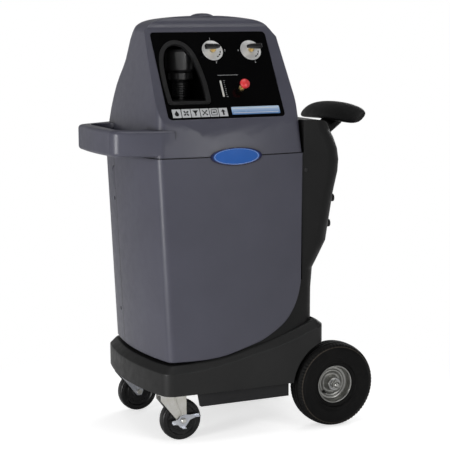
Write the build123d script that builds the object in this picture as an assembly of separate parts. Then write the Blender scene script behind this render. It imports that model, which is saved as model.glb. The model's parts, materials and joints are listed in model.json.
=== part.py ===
from build123d import *
import math
import os

os.makedirs("parts", exist_ok=True)

# Frame: +X runs to the handle end, the panel faces -Y, +Z is up, the floor is z = 0.
# Every size is in millimetres.

# Main sizes
cab_half = 225.0
seam_z = 846.0
tyre_r = 130.0
caster_r = 62.5

# Rear wheels and axle
wheel_x = 267.0
tyre_w = 84.0
bead_r = 57.0
bead_half = 21.0
axle_r = 10.0
run_gap = 0.05
bearing_r = axle_r + 7.5
bearing_w = 11.0
hub_r = bearing_r + 4.5
hub_out = 24.0
hub_in = 36.0
valve_at = 38.0
valve_turn = 0.7

# Casters
swivel_x = -254.0
trail = 37.0
caster_w = 32.0
fork_clear = 17.6
fork_t = 3.0
fork_low = 2 * caster_r + fork_clear
caster_plate_t = 3.0
caster_top = fork_low + 15.4
kingpin_r = 6.0
caster_bolt_r = 5.0

# Chassis and base shell
base_wall = 6.0
base_left = -283.0
base_bow = 37.0
base_half = cab_half + 22.0
base_side_bow = 8.0
base_right = 235.0
base_low = caster_top - 8.0
base_bevel = 21.0
ridge_r = 6.0
deck_t = 4.0
deck_z = caster_top + deck_t
beam_h = 60.0
beam_w = 30.0
beam_y = 115.0
base_deck = deck_z + beam_h
caster_y = base_half - 68.0
wheel_y = base_half - 18.0
well_y = wheel_y - tyre_w / 2 - 7.0
well_r = tyre_r + 12.0
rail_out = base_half - 9.0
rail_w = 14.0
rail_low = caster_top - 50.0
rail_start = swivel_x + trail + caster_r - 18.5
rail_end = wheel_x - tyre_r - 21.0

# Upper edge of the base: it climbs from the deck at the casters to the rear wheels
ridge_low = base_deck - 4.0
ridge_high = tyre_r + 193.0
climb = (ridge_high - ridge_low) / 105.0
ridge_rise = [(-330, 0), (-201, 1), (-103, 14), (-16, 33), (80, 53), (177, 84), (245, 105)]
ridge_line = [(x, ridge_low + rise * climb) for x, rise in ridge_rise]

# Cabinet, with the sweep of its lower edge above the base
shell_wall = 5.0
cab_low = base_deck + 10.0
cab_left_low = -263.5
cab_left = -292.0
cab_right = 168.0
cab_bow = 28.0
cab_side_bow = 18.0
cab_corner = 26.0
part_y = 90.0
part_gap = 0.8
seam_gap = 1.5
sweep_rise = [(-340, 6), (-190, 8), (-97, 16), (-22, 36), (29, 52), (61, 68), (110, 102), (145, 153),
              (163, 220)]
sweep_line = [(x, ridge_low + base_bevel + rise * climb) for x, rise in sweep_rise]

# Hood: heights over the seam, with left, right, front, end bow, front, back and right corner radii
hood_right = 172.0
hood_left_top = -257.0
hood_sides = [(0, cab_left, hood_right, cab_half, cab_bow, cab_corner, cab_corner, 22),
              (84, -285.5, 171, cab_half - 15, 13, 30, 36, 26),
              (204, -276, 164, cab_half - 35, 8, 33, 58, 34),
              (454, hood_left_top, 150, cab_half - 79, 0.5, 36, 60, 44)]
# height over the seam and how far the back has come in
hood_back = [(0, 0), (84, 3), (124, 10), (159, 21), (195, 37), (222, 57), (246, 80), (272, 101),
             (304, 116), (334, 129), (356, 145), (374, 165), (390, 191), (406, 221)]
hood_top = seam_z + 403.0
# x and drop below the top
crown_line = [(-272, 53), (-248, 23), (-205, 9), (-109, 0), (-12, 0), (75, 9), (120, 22), (146, 49)]
console_foot = (20.0 - cab_half, seam_z + 108.0)
console_head = (163.0 - cab_half, seam_z + 355.0)

# Rear cover: x and height over the seam, the lowest two rows over the wheels
cover_wall = 5.0
cover_inset = 3.0
cover_left = 174.0
cover_gap = 0.8
cover_low = [(214, ridge_high - 23), (214, ridge_high + 47)]
cover_high = [(215, -416), (224, -356), (250, -316), (272, -276), (284, -206), (297, -131), (313, -66),
              (316, -31), (311, 4), (298, 37), (285, 59), (270, 99)]
cover_line = cover_low + [(x, seam_z + rise) for x, rise in cover_high]
cover_top = [(160, 94), (203, 95), (245, 90), (284, 72), (325, 12)]

# Tray on the hood
tray_left = -417.0
tray_low = seam_z + 3.0
tray_high = 76.0
tray_top = tray_low + tray_high
tray_half = cab_half - 2.0
tray_nose = 124.0
pocket_depth = 30.0
pocket_long = 300.0
pocket_wide = 92.0
tray_edge = 11.0

# Console panel, in panel coordinates (x, up the slope)
panel_x0 = -252.0
panel_x1 = 121.0
panel_h = 286.0
panel_t = 3.0
panel_r = 12.0
panel_sink = 5.0
dial_r = 33.0
dial_t = 2.0
stem_r = 5.5
stem_hole = 7.5
select_at = (-64.5, 224.0)
filter_at = (60.5, 223.0)
knob_at = (-0.5, 96.0)
knob_lift = 19.0
knob_r = 18.0
knob_stem_r = 4.5
knob_hole = 6.5
strip_at = (-62.0, 97.0)
strip_long = 54.0
strip_wide = 6.0
symbol_at = (-223.0, 20.5)
symbol_size = 27.0
symbol_step = 29.4
lever_lift = 20.0
niche_out = [(-243, 48), (-247, 112), (-246, 160), (-240, 204), (-222, 239), (-190, 257), (-158, 252),
             (-134, 228), (-118, 180), (-109, 118), (-109, 48)]
niche_rim = 13.0
niche_wall = 3.0
niche_back = console_head[0] + 78.0
niche_left = -237.0
niche_right = -96.0
niche_top = seam_z + 322.0

# Filter in the niche
filter_x = -146.0
filter_y = console_head[0] + 26.0
filter_r = 46.0

# Badge on the seam
badge_x = -57.0
badge_long = 82.0
badge_high = 26.0
badge_t = 2.6

# Filler cap and neck
cap_x = -57.0
cap_y = 2.0
cap_r = 36.0
cap_seat = hood_top - 5.5
neck_r = 22.0
neck_wall = 4.5
neck_gap = 0.5

# Posts inside the cabinet
upright_w = 25.0
upright_x = (-236.0, 138.0)
upright_y = cab_half - 45.0

# Tank, pump and the row of parts behind the posts
tank_r = 108.0
tank_low = base_deck + base_wall
tank_high = 462.0
tank_top = tank_low + tank_high
tank_wall = 2.5
strap_z = (tank_low + 132.0, tank_low + 332.0)
strap_w = 22.0
pump_x = 118.0
pump_y = -45.0
pump_z = tank_low + 72.0
unit_y = upright_y - 60.0
unit_z = strap_z[1]
pipe_r = 6.0

# Hose stubs on the rear cover
port_z = (seam_z - 156.0, seam_z - 234.0)
port_y = -132.0
port_r = 12.0
port_len = 18.0
inlet_y = 110.0
inlet_z = seam_z - 195.0
inlet_r = 7.0
inlet_len = 24.0
pad_out = 4.0
nut_t = 7.0

# Screw seats
seam_screw_at = ((110.0, seam_z - 149.0), (116.0, cab_low + 118.0))
screw_sunk = 10.0
screw_head_r = 5.5
screw_r = 2.5
cover_screw = (182.0, seam_z - 55.0)

# Handle: x, then underside and top over the seam, half width and the share of the height
# that falls away from the ridge
grip_half = 184.0
grip_z = seam_z + 105.0
stem_rows = [(240, -18, 54, 48, 0.06), (284, -18, 73, 56, 0.06), (324, 11, 69, 54, 0.16),
             (350, 30, 72, 50, 0.42), (398, 66, 112, 50, 0.5), (412, 88, 112, 40, 0.5)]

# Reach of the cutting blocks, past every piece
wide = 500.0
over = seam_z + 600.0


def box_at(x0, x1, y0, y1, z0, z1):
    return Pos((x0 + x1) / 2, (y0 + y1) / 2, (z0 + z1) / 2) * Box(x1 - x0, y1 - y0, z1 - z0)


def both(shape):
    # the same piece on both sides of the long centre plane
    return Compound([*shape.solids(), *mirror(shape, Plane.XZ).solids()])


def rod(start, end, radius):
    line = Vector(*end) - Vector(*start)
    return extrude(Plane(origin=start, z_dir=line) * Circle(radius), line.length)


def pipe(points, radius, bend):
    # a bent tube through the points, solid inside
    path = FilletPolyline(*points, radius=bend)
    start = Plane(origin=path @ 0, z_dir=path % 0)
    return sweep(start * Circle(radius), path)


def turned(points):
    # (along, radius) pairs spun about Y
    return revolve(make_face(Polyline(*[(r, a) for a, r in points], close=True)), Axis.Y)


def turned_up(points):
    return Rot(90, 0, 0) * turned(points)


def side_face(points):
    # straight-sided face in the XZ plane; extruded along Y by prism_y
    return make_face(Polyline(*[(x, 0, z) for x, z in points], close=True))


def prism_y(face, y0, y1):
    solid = extrude(face, y1 - y0, dir=(0, 1, 0))
    return Pos(0, y0, 0) * solid


def curve_face(curve, rest):
    # face in XZ closed by a smooth curve and straight lines through the rest
    spline = Spline(*[(x, 0, z) for x, z in curve])
    lines = Polyline(*[(x, 0, z) for x, z in [curve[-1], *rest, curve[0]]])
    return make_face([spline, *lines.edges()])


def bowed(start, middle, end):
    across = (end[0] - start[0]) * (middle[1] - start[1])
    along = (end[1] - start[1]) * (middle[0] - start[0])
    return Line(start, end) if abs(across - along) < 1e-6 else ThreePointArc(start, middle, end)


def outline(z, left, right, half, bow, side_bow, front_r, back_r, right_r=0.0, front=None):
    # plan view with a bowed end and bowed sides, its corners rounded
    mid = (left + right) / 2
    near = front if front else half
    face = make_face([bowed((left, -near), (mid, -near - side_bow), (right, -near)),
                      Line((right, -near), (right, half)),
                      bowed((right, half), (mid, half + side_bow), (left, half)),
                      bowed((left, half), (left - bow, (half - near) / 2), (left, -near))])
    for corner, radius in [((left, -near), front_r), ((left, half), back_r),
                           ((right, -near), right_r), ((right, half), right_r)]:
        if radius > 0:
            here = [v for v in face.vertices() if math.dist((v.X, v.Y), corner) < 0.5]
            face = fillet(here, radius)
    return Pos(0, 0, z) * face


def between(table, z):
    # row of a table by height, blended linearly
    for low, high in zip(table, table[1:]):
        if low[0] <= z <= high[0]:
            share = (z - low[0]) / (high[0] - low[0])
            return [a + (b - a) * share for a, b in zip(low[1:], high[1:])]
    raise ValueError(z)


def panel_plane():
    dy = console_head[0] - console_foot[0]
    dz = console_head[1] - console_foot[1]
    size = math.hypot(dy, dz)
    return Plane(origin=(0, *console_foot), x_dir=(1, 0, 0), z_dir=(0, -dz / size, dy / size))


def on_panel(x, s, lift=0.0):
    return panel_plane().location * Pos(x, s, lift)


def wheel_well(radius, inner):
    well = rod((wheel_x, inner, tyre_r), (wheel_x, inner + 120, tyre_r), radius)
    return both(well)


def base_shell():
    lift = base_bevel
    top = curve_face([(x, z + lift) for x, z in ridge_line],
                     [(ridge_line[-1][0], base_low), (ridge_line[0][0], base_low)])
    plan = outline(0, base_left, base_right, base_half, base_bow, base_side_bow, 40, 40, 30)
    block = prism_y(top, -wide, wide) & extrude(plan, 500)
    rim = [e for e in block.edges()
           if e.center().Z > ridge_low - 8 and not abs(e.tangent_at(0.5).Z) > 0.9]
    block = chamfer(rim, lift)
    ridge = [e for e in block.edges() if e.length > 30 and ridge_low - 28 < e.center().Z < ridge_high + 7
             and abs(e.tangent_at(0.5).Z) < 0.9 and is_outer(e)]
    block = fillet(ridge, ridge_r)
    bay = base_half - 41
    shell = block - box_at(base_left + 31, base_right - 21, -bay, bay, base_deck + base_wall, 500)
    hollow = extrude(outline(0, base_left + base_wall, base_right - base_wall, base_half - base_wall,
                             base_bow, base_side_bow, 34, 34, 24), base_deck)
    lid = curve_face([(x, z - 14) for x, z in ridge_line],
                     [(ridge_line[-1][0], 0), (ridge_line[0][0], 0)])
    hollow = hollow & prism_y(lid, -wide, wide)
    left, right, low = base_left + 21, base_right - 19, base_low - 50
    between_wells = well_y - base_wall
    hollow = hollow + box_at(left, right, -between_wells, between_wells, low, base_deck)
    hollow = hollow + box_at(left, rail_end - 26, -(base_half - 43), base_half - 43, low, base_deck)
    hollow = hollow - wheel_well(well_r + base_wall, between_wells)
    hollow = hollow + box_at(right, wide, -between_wells, between_wells, low, deck_z)
    shell = shell - hollow - wheel_well(well_r, well_y)
    return keep_largest(shell)


def is_outer(edge):
    c = edge.center()
    return abs(c.Y) > base_half - 12 or c.X < base_left - 5 or c.X > base_right - 12


def keep_largest(shape):
    return max(shape.solids(), key=lambda s: s.volume)


def chassis():
    deck_half = base_half - 43
    plate = box_at(base_left + 1, rail_start - 4, -deck_half, deck_half, caster_top, deck_z)
    plate += box_at(rail_start - 4, rail_end - 2, -rail_out, rail_out, caster_top, deck_z)
    plate += box_at(rail_end - 2, base_right - 9, -(well_y - 10), well_y - 10, caster_top, deck_z)
    inner, outer = beam_y - beam_w / 2, beam_y + beam_w / 2
    left, right = base_left + 28, base_right - 30
    beams = box_at(left, right, inner, outer, deck_z, base_deck)
    beams -= box_at(left - 1, right + 1, inner + 3, outer - 3, deck_z + 3, base_deck - 3)
    cross = box_at(-150, -120, -inner, inner, deck_z, base_deck)
    cross += box_at(100, 130, -inner, inner, deck_z, base_deck)
    return plate + beams + mirror(beams, Plane.XZ) + cross


def side_rails():
    face = side_face([(rail_start - 9, caster_top), (rail_start, rail_low), (rail_end, rail_low),
                      (rail_end, caster_top)])
    return both(prism_y(face, rail_out - rail_w, rail_out))


def axle_brackets():
    face = side_face([(150, caster_top), (base_right - 10, caster_top), (wheel_x + 24, tyre_r + 16),
                      (wheel_x + 24, tyre_r - 18), (wheel_x - 30, tyre_r - 18), (150, caster_top - 20)])
    plate = prism_y(face, well_y - 32, well_y - 24)
    boss = rod((wheel_x, well_y - 40, tyre_r), (wheel_x, well_y - 14, tyre_r), axle_r + 9)
    bore = rod((wheel_x, well_y - 50, tyre_r), (wheel_x, well_y - 4, tyre_r), axle_r + run_gap)
    return both(plate + boss - bore)


def axle():
    end = wheel_y + hub_out + 6
    bar = rod((wheel_x, -end, tyre_r), (wheel_x, end, tyre_r), axle_r)
    start, stop = well_y - 14, wheel_y - hub_in - 0.5
    collar = rod((wheel_x, start, tyre_r), (wheel_x, stop, tyre_r), axle_r + 4)
    collar -= rod((wheel_x, start - 6, tyre_r), (wheel_x, stop + 6, tyre_r), axle_r - 1)
    return bar + collar + mirror(collar, Plane.XZ)


def axle_nuts():
    start = wheel_y + hub_out
    washer = rod((wheel_x, start + 0.5, tyre_r), (wheel_x, start + 3, tyre_r), axle_r + 5)
    seat = Plane(origin=(wheel_x, start + 3, tyre_r), z_dir=(0, 1, 0))
    nut = extrude(seat * RegularPolygon(axle_r + 4, 6), 9)
    cut = box_at(wheel_x - 20, wheel_x + 20, start + 12, start + 40, tyre_r - 30, tyre_r + 30)
    dome = Pos(wheel_x, start + 12, tyre_r) * Sphere(axle_r - 0.5) & cut
    thread = rod((wheel_x, start - 5, tyre_r), (wheel_x, start + 6.2, tyre_r), axle_r + run_gap)
    return both(washer + nut + dome - thread)


def tyre():
    # half widths and radii, from the bead over the sidewall to the grooved tread
    half = tyre_w / 2
    belly = (tyre_r + bead_r + 1) / 2
    outer = [(bead_half, bead_r + 0.4), (bead_half, bead_r + 7), (half - 10, bead_r + 13),
             (half - 3, bead_r + 23), (half, belly), (half - 2, tyre_r - 22), (half - 8, tyre_r - 10),
             (half - 15, tyre_r - 3.5), (half - 20, tyre_r - 1.8), (half - 21, tyre_r - 5.5),
             (half - 25, tyre_r - 5.2), (half - 26, tyre_r - 0.8), (3, tyre_r), (2, tyre_r - 4.5)]
    inner = [(14, bead_r + 0.4), (14, bead_r + 9), (half - 16, bead_r + 19), (half - 9, belly),
             (half - 13, tyre_r - 20), (half - 22, tyre_r - 12), (0, tyre_r - 10)]
    left_out = [(-a, r) for a, r in outer]
    left_in = [(-a, r) for a, r in inner[:-1]]
    return turned(left_out + outer[::-1] + inner + left_in[::-1])


def rim():
    # rolled edges either side of a well, a dished disc and the hub tube
    lip = bead_half + 0.2
    outer = [(lip, bead_r + 6.4), (25, bead_r + 6.4), (25, bead_r + 3.5), (24, bead_r - 3),
             (14, bead_r - 3), (10.5, bead_r - 10)]
    inner = [(9, bead_r - 7), (13, bead_r), (lip, bead_r)]
    right = inner + outer
    bead = turned(right + [(-a, r) for a, r in right[::-1]])
    dish = turned([(-3, bead_r - 9), (3, bead_r - 9), (4, bead_r - 17), (-2, hub_r + 8), (-2, hub_r - 1),
                   (-6, hub_r - 1), (-6, hub_r + 9)])
    bore = bearing_r + run_gap
    hub = turned([(-hub_out, bore), (-hub_out, hub_r), (hub_in, hub_r), (hub_in, bore),
                  (hub_in - bearing_w, bore), (hub_in - bearing_w, axle_r + 4),
                  (-hub_out + bearing_w, axle_r + 4), (-hub_out + bearing_w, bore)])
    return bead + dish + hub - valve_spot() * rod((0, -20, 0), (0, 20, 0), 4.3)


def rim_bearings():
    rings = []
    for start in (-hub_out, hub_in - bearing_w):
        ring = turned([(start, axle_r + run_gap), (start, bearing_r), (start + bearing_w, bearing_r),
                       (start + bearing_w, axle_r + run_gap)])
        rings += ring.solids()
    return Compound(rings)


def valve_spot():
    return Pos(-valve_at * math.cos(valve_turn), 0, -valve_at * math.sin(valve_turn))


def valve():
    return valve_spot() * turned([(-19, 0), (-19, 3.2), (-9, 4.2), (3.5, 4.2), (3.5, 0)])


def rear_wheel(side):
    # the outer face of each wheel looks away from the cart
    out = {}
    for name, shape in [("tyre", tyre()), ("rim", rim()), ("rim_bearings", rim_bearings()),
                        ("tyre_valve", valve())]:
        if side > 0:
            shape = mirror(shape, Plane.XZ)
        out[name] = Pos(wheel_x, side * wheel_y, tyre_r) * shape
    return out


def caster_plates():
    zc = caster_top - caster_plate_t
    plate = box_at(swivel_x - 29, swivel_x + 49, -34, 34, zc, caster_top)
    for dx in (-20, 40):
        for dy in (-25, 25):
            plate -= rod((swivel_x + dx, dy, zc - 1), (swivel_x + dx, dy, caster_top + 1), 4.3)
    cup = turned_up([(zc - 9, 0), (zc - 9, 24), (zc, 27), (zc, 0)])
    foot = fork_low - 6.6
    pin = rod((swivel_x, 0, foot), (swivel_x, 0, zc), kingpin_r)
    head = rod((swivel_x, 0, foot), (swivel_x, 0, fork_low - 0.2), kingpin_r + 6)
    one = plate + Pos(swivel_x, 0, 0) * cup + pin + head
    return both(Pos(0, caster_y, 0) * one)


def caster_fork():
    axle_x = swivel_x + trail
    back, front = swivel_x - 31, axle_x + 13
    side = caster_w / 2 + 1.5
    high = fork_low + fork_t
    top = box_at(back, front, -(side + fork_t), side + fork_t, fork_low, high)
    top += rod((swivel_x, 0, fork_low), (swivel_x, 0, high), 33)
    top -= rod((swivel_x, 0, fork_low - 3), (swivel_x, 0, high + 3), kingpin_r + run_gap)
    leg_face = side_face([(back, high), (front, high), (front, caster_r), (axle_x + 8, caster_r - 11),
                          (axle_x - 6, caster_r - 12), (axle_x - 13, caster_r - 4),
                          (back, fork_low - 14.6)])
    leg = prism_y(leg_face, side, side + fork_t)
    # pressed rib down the leg
    rib = rod((axle_x - 2, side + 2.5, caster_r + 9.5), (swivel_x + 12, side + 2.5, fork_low - 6.6), 2.3)
    leg = leg + (rib & box_at(-400, 0, side + 0.5, 60, 0, over))
    body = top + leg + mirror(leg, Plane.XZ)
    return body - rod((axle_x, -40, caster_r), (axle_x, 40, caster_r), caster_bolt_r + run_gap)


def caster_bolt():
    axle_x = swivel_x + trail
    end = caster_w / 2 + 1.5 + fork_t
    bar = rod((axle_x, -end - 7, caster_r), (axle_x, end + 5.5, caster_r), caster_bolt_r)
    half = box_at(-400, 0, -end - 13.5, -end - 7, 0, over)
    head = Pos(axle_x, -end - 7, caster_r) * Sphere(caster_bolt_r + 4) & half
    seat = Plane(origin=(axle_x, end, caster_r), z_dir=(0, 1, 0))
    nut = extrude(seat * RegularPolygon(caster_bolt_r + 3.5, 6), 6)
    return bar + head + nut


def caster_wheel():
    # half of the section; both sides are alike
    w = caster_w / 2
    side = [(w - 10, caster_r), (w - 4, caster_r - 1), (w, caster_r - 4.5), (w, caster_r - 15.5),
            (w - 4, caster_r - 19.5), (w - 4, 19), (w, 16), (w, 9.05)]
    return Pos(swivel_x + trail, 0, caster_r) * turned([(-a, r) for a, r in side[::-1]] + side)


def caster_bushing():
    w = caster_w / 2 + 1
    ring = turned([(-w, caster_bolt_r + run_gap), (-w, 9), (w, 9), (w, caster_bolt_r + run_gap)])
    return Pos(swivel_x + trail, 0, caster_r) * ring


def brake_lever():
    # pressed pedal with two bent wings, on the outer side of the fork
    axle_x = swivel_x + trail
    y0 = caster_w / 2 + 1.5 + fork_t + 2.2
    t = 2.5
    plate = side_face([(-34, -9), (-16, -12), (-10, -20), (4, -24), (12, -14), (22, 0), (50, 9),
                       (52, 17), (24, 15), (8, 17), (-8, 14), (-18, 4), (-36, 1)])
    body = prism_y(plate, y0, y0 + t)
    body += box_at(36, 52, y0, y0 + 14, 9.5, 12)
    body += box_at(-36, -24, y0, y0 + 12, -8, -5.5)
    body += box_at(-5, 8, y0, y0 + 10, -23.5, -21)
    body = Pos(axle_x, 0, caster_r) * body
    return body - rod((axle_x, 0, caster_r), (axle_x, 60, caster_r), caster_bolt_r + run_gap)


def caster(side):
    out = {"caster_fork": caster_fork(), "caster_bolt": caster_bolt(), "caster_wheel": caster_wheel(),
           "caster_bushing": caster_bushing(), "brake_lever": brake_lever()}
    for name in out:
        shape = out[name]
        if name == "brake_lever" and side < 0 or name == "caster_bolt" and side > 0:
            shape = mirror(shape, Plane.XZ)
        out[name] = Pos(0, side * caster_y, 0) * shape
    return out


def cabinet_solid(grow, low, high):
    # tapered, bowed body; grow is negative for the inside
    faces = []
    for z in (low, high):
        share = (z - cab_low) / (seam_z - cab_low)
        left = cab_left_low + (cab_left - cab_left_low) * share
        faces.append(outline(z, left - grow, cab_right, cab_half + grow, cab_bow, cab_side_bow,
                             cab_corner + grow, cab_corner + grow))
    return loft(faces, ruled=True)


def cabinet():
    body = cabinet_solid(0, cab_low, seam_z) - cabinet_solid(-shell_wall, cab_low - 1, seam_z + 1)
    body -= box_at(cab_right - shell_wall - 2, cab_right + 10, -cab_half + 8, cab_half - 8, 0, over)
    keep = curve_face(sweep_line, [(cab_right, seam_z), (-340, seam_z)])
    body = body & prism_y(keep, -wide, wide)
    # the upper edge steps in, which leaves a thin groove under the hood
    step = seam_z - seam_gap
    lip = cabinet_solid(1, step, seam_z) - cabinet_solid(-shell_wall / 2, step - 1, seam_z + 1)
    return body - lip


def end_wall_x(y, z):
    # outer face of the bowed end wall
    left = cab_left_low + (cab_left - cab_left_low) * (z - cab_low) / (seam_z - cab_low)
    reach = (cab_half ** 2 + cab_bow ** 2) / (2 * cab_bow)
    return left - cab_bow + reach - math.sqrt(reach ** 2 - y ** 2)


def split_cabinet():
    body = cabinet()
    front = body & box_at(-wide, wide, -wide, part_y - part_gap / 2, 0, over)
    back = body & box_at(-wide, wide, part_y + part_gap / 2, wide, 0, over)
    inner = upright_y + upright_w / 2
    pads = Part()
    for z in (cab_low + 98, seam_z - 146):
        for x in upright_x:
            pads += box_at(x - 10, x + 10, -cab_half - 4, -inner, z, z + 30)
    wall = cabinet_solid(-1, cab_low, seam_z)
    front = front + (pads & wall)
    back = back + (mirror(pads, Plane.XZ) & wall)
    # crescent finger recess and two sunk screw seats beside the parting line
    grip_at = seam_z - 82
    depth = end_wall_x(part_y, grip_at) + 3.2
    recess = Pos(cab_left - 38, part_y, grip_at) * Rot(0, 90, 0) * Cylinder(37, 60)
    back = back - (recess & box_at(-wide, depth, part_y, wide, grip_at - 64, grip_at + 66))
    for x, y, z in seam_screws():
        back = back + (rod((x - 8, y, z), (x + 14, y, z), 10) & wall)
        back = back - rod((x - 30, y, z), (x + 4, y, z), screw_head_r + 0.7)
        back = back - rod((x, y, z), (x + 30, y, z), screw_r + 0.3)
    return keep_largest(front), keep_largest(back)


def upright_frame():
    y = upright_y
    h = upright_w / 2
    ring = seam_z - 30
    frame = Part()
    for x in upright_x:
        post = box_at(x - h, x + h, y - h, y + h, base_deck + base_wall, ring)
        frame += post + mirror(post, Plane.XZ)
        frame += box_at(x - h, x + h, -y - h, y + h, ring, seam_z - 5)
    # arm under the root of the handle
    root, under = stem_rows[0][:2]
    frame += box_at(upright_x[1] + h, root + 36, -40, 40, ring, seam_z + under)
    for side in (-1, 1):
        frame += box_at(upright_x[0], upright_x[1], side * y - h, side * y + h, ring, seam_z - 5)
    # rails that carry the tank straps
    for z in strap_z:
        frame += box_at(upright_x[0], upright_x[1], y - h, y + h, z - strap_w / 2, z + strap_w / 2)
    return frame


def hood_outer(inset):
    sections = []
    for rise, come_in in hood_back:
        left, right, near, bow, front_r, back_r, right_r = between(hood_sides, rise)
        level = seam_z + rise - (1 if inset and rise == 0 else 0)
        sections.append(outline(level, left + inset, right - inset, cab_half - come_in - inset, bow,
                                cab_side_bow, front_r - inset, back_r - inset, right_r - inset,
                                near - inset))
    body = loft(sections, ruled=True)
    dy, dz = console_head[0] - console_foot[0], console_head[1] - console_foot[1]
    size = math.hypot(dy, dz)
    # console plane, moved inwards by the inset
    fy = console_foot[0] + inset * dz / size
    fz = console_foot[1] - inset * dy / size
    t0 = -75.0 / dy
    t1 = 1.055
    foot = (fy + dy * t0, fz + dz * t0)
    head = (fy + dy * t1, fz + dz * t1)
    top = hood_top - inset
    low = seam_z - 20
    back = cab_half - 115
    lines = [Polyline((0, foot[0], low), (0, foot[0], foot[1]), (0, head[0], head[1])),
             ThreePointArc((0, head[0], head[1]), (0, head[0] + 15, top - 5), (0, head[0] + 36, top)),
             Spline((0, head[0] + 36, top), (0, back - 80, top - 8), (0, back - 30, top - 30),
                    (0, back, top - 62)),
             Polyline((0, back, top - 62), (0, back + 190, top - 62), (0, back + 190, low),
                      (0, foot[0], low))]
    profile = make_face([e for line in lines for e in line.edges()])
    body = body & (Pos(-wide, 0, 0) * extrude(profile, 2 * wide, dir=(1, 0, 0)))
    crown = [(x + inset if x < 0 else x - inset, top - drop) for x, drop in crown_line]
    left, right = hood_left_top - 60, hood_right + 48
    under, eave = seam_z - 46, seam_z + 254
    sides = [crown[-1], (right, eave), (right, under), (left, under), (left, eave), crown[0]]
    crown_face = make_face([Spline(*[(x, 0, z) for x, z in crown]),
                            *Polyline(*[(x, 0, z) for x, z in sides]).edges()])
    return body & prism_y(crown_face, -wide, wide)


def tray_outline(inset):
    nose = tray_nose - inset * 0.5
    left = tray_left + inset
    arc = ThreePointArc((left + 7, -nose), (left, 0), (left + 7, nose))
    c0 = ThreePointArc((left + 28, -(tray_nose + 43) + inset),
                       (left + 10, -(tray_nose + 23) + inset * 0.8), (left + 7, -nose))
    c1 = ThreePointArc((left + 7, nose), (left + 10, tray_nose + 23 - inset * 0.8),
                       (left + 28, tray_nose + 43 - inset))
    half = tray_half - inset
    corner = (left + 28, tray_nose + 43 - inset)
    rest = Polyline(corner, (-282, half), (-240, half), (-240, -half), (-282, -half),
                    (corner[0], -corner[1]))
    return make_face([arc, c0, c1, *rest.edges()])


def tray_body():
    # stacked outlines give the rounded upper and lower edge
    turns = (0, 0.4, 0.8, 1.2, math.pi / 2)
    steps = [(tray_edge * (1 - math.cos(a)), tray_edge * (1 - math.sin(a))) for a in turns]
    rows = [(tray_low + rise, inset) for rise, inset in steps]
    rows += [(tray_top - rise, inset) for rise, inset in reversed(steps)]
    return loft([Pos(0, 0, z) * tray_outline(inset) for z, inset in rows], ruled=True)


def pocket_shape(grow, low):
    face = Pos(-334, 0) * RectangleRounded(pocket_wide + 2 * grow, pocket_long + 2 * grow, 40)
    return Pos(0, 0, low) * extrude(face, 200)


def hood():
    outer = hood_outer(0)
    body = outer + tray_body()
    inner = hood_outer(shell_wall)
    inside = inner + (Pos(0, 0, tray_low + shell_wall)
                      * extrude(tray_outline(shell_wall), tray_high - 2 * shell_wall))
    pocket_low = tray_top - pocket_depth
    shelf = box_at(-wide, -200, -wide, wide, 0, tray_top + 1)
    pocket = (pocket_shape(0, pocket_low) & shelf) - outer
    block = pocket_shape(shell_wall, pocket_low - shell_wall) & shelf
    block = block & (Pos(0, 0, tray_low) * extrude(tray_outline(0), 200)) - inner
    inside = inside - block
    body = body - inside - pocket
    # console recess and the opening behind the panel
    recess = on_panel(0, 0) * panel_block(0.6, -panel_sink, 40)
    window = on_panel(0, 0) * panel_block(-9, -60, 60)
    ledge = on_panel(0, 0) * panel_block(7, -panel_sink - 5, -1)
    body = body + (ledge & outer) - recess - window
    # neck hole under the filler cap
    low, high = (cap_x, cap_y, cap_seat - 50), (cap_x, cap_y, over)
    body = body - rod(low, high, neck_r + neck_gap)
    body = body - rod((cap_x, cap_y, cap_seat), high, cap_r + 1.5)
    return keep_largest(body)


def panel_block(grow, low, high):
    w = panel_x1 - panel_x0 + 2 * grow
    h = panel_h + 2 * grow
    face = Pos((panel_x0 + panel_x1) / 2, panel_h / 2) * RectangleRounded(w, h, max(panel_r + grow, 3))
    return Pos(0, 0, low) * extrude(face, high - low)


def niche_face(shrink):
    # arched outline, moved inwards by shrink on every side
    pts = []
    count = len(niche_out)
    for i, (x, y) in enumerate(niche_out):
        (ax, ay), (bx, by) = niche_out[max(i - 1, 0)], niche_out[min(i + 1, count - 1)]
        size = math.hypot(bx - ax, by - ay)
        nx, ny = (by - ay) / size, -(bx - ax) / size
        low = niche_out[0][1] + shrink * 0.65
        pts.append((x + nx * shrink, low if i in (0, count - 1) else y + ny * shrink))
    face = make_face([Spline(*pts), Line(pts[-1], pts[0])])
    return fillet(face.vertices(), 10 - shrink * 0.3)


def control_panel():
    plate = panel_block(0, -panel_sink, -panel_sink + panel_t)
    plate -= Pos(0, 0, -20) * extrude(niche_face(4), 40)
    for at, r in ((select_at, stem_hole), (filter_at, stem_hole), (knob_at, knob_hole)):
        plate -= Pos(*at, -20) * extrude(Circle(r), 40)
    plate -= Pos(*strip_at, -20) * extrude(RectangleRounded(strip_wide, strip_long, 2.5), 40)
    return on_panel(0, 0) * plate


def behind_panel(lift):
    return on_panel(0, 0) * (Pos(0, 0, lift - 400) * extrude(Rectangle(2000, 2000), 400))


def niche_box(grow):
    # upright box with rounded corners that runs out through the console plane
    out = console_foot[0] - 45
    plan = Pos((niche_left + niche_right) / 2, (niche_back + out) / 2, niche_floor() - grow)
    face = RectangleRounded(niche_right - niche_left + 2 * grow, niche_back - out + 2 * grow, 24 + grow)
    return plan * extrude(face, niche_top - niche_floor() + 2 * grow)


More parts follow.
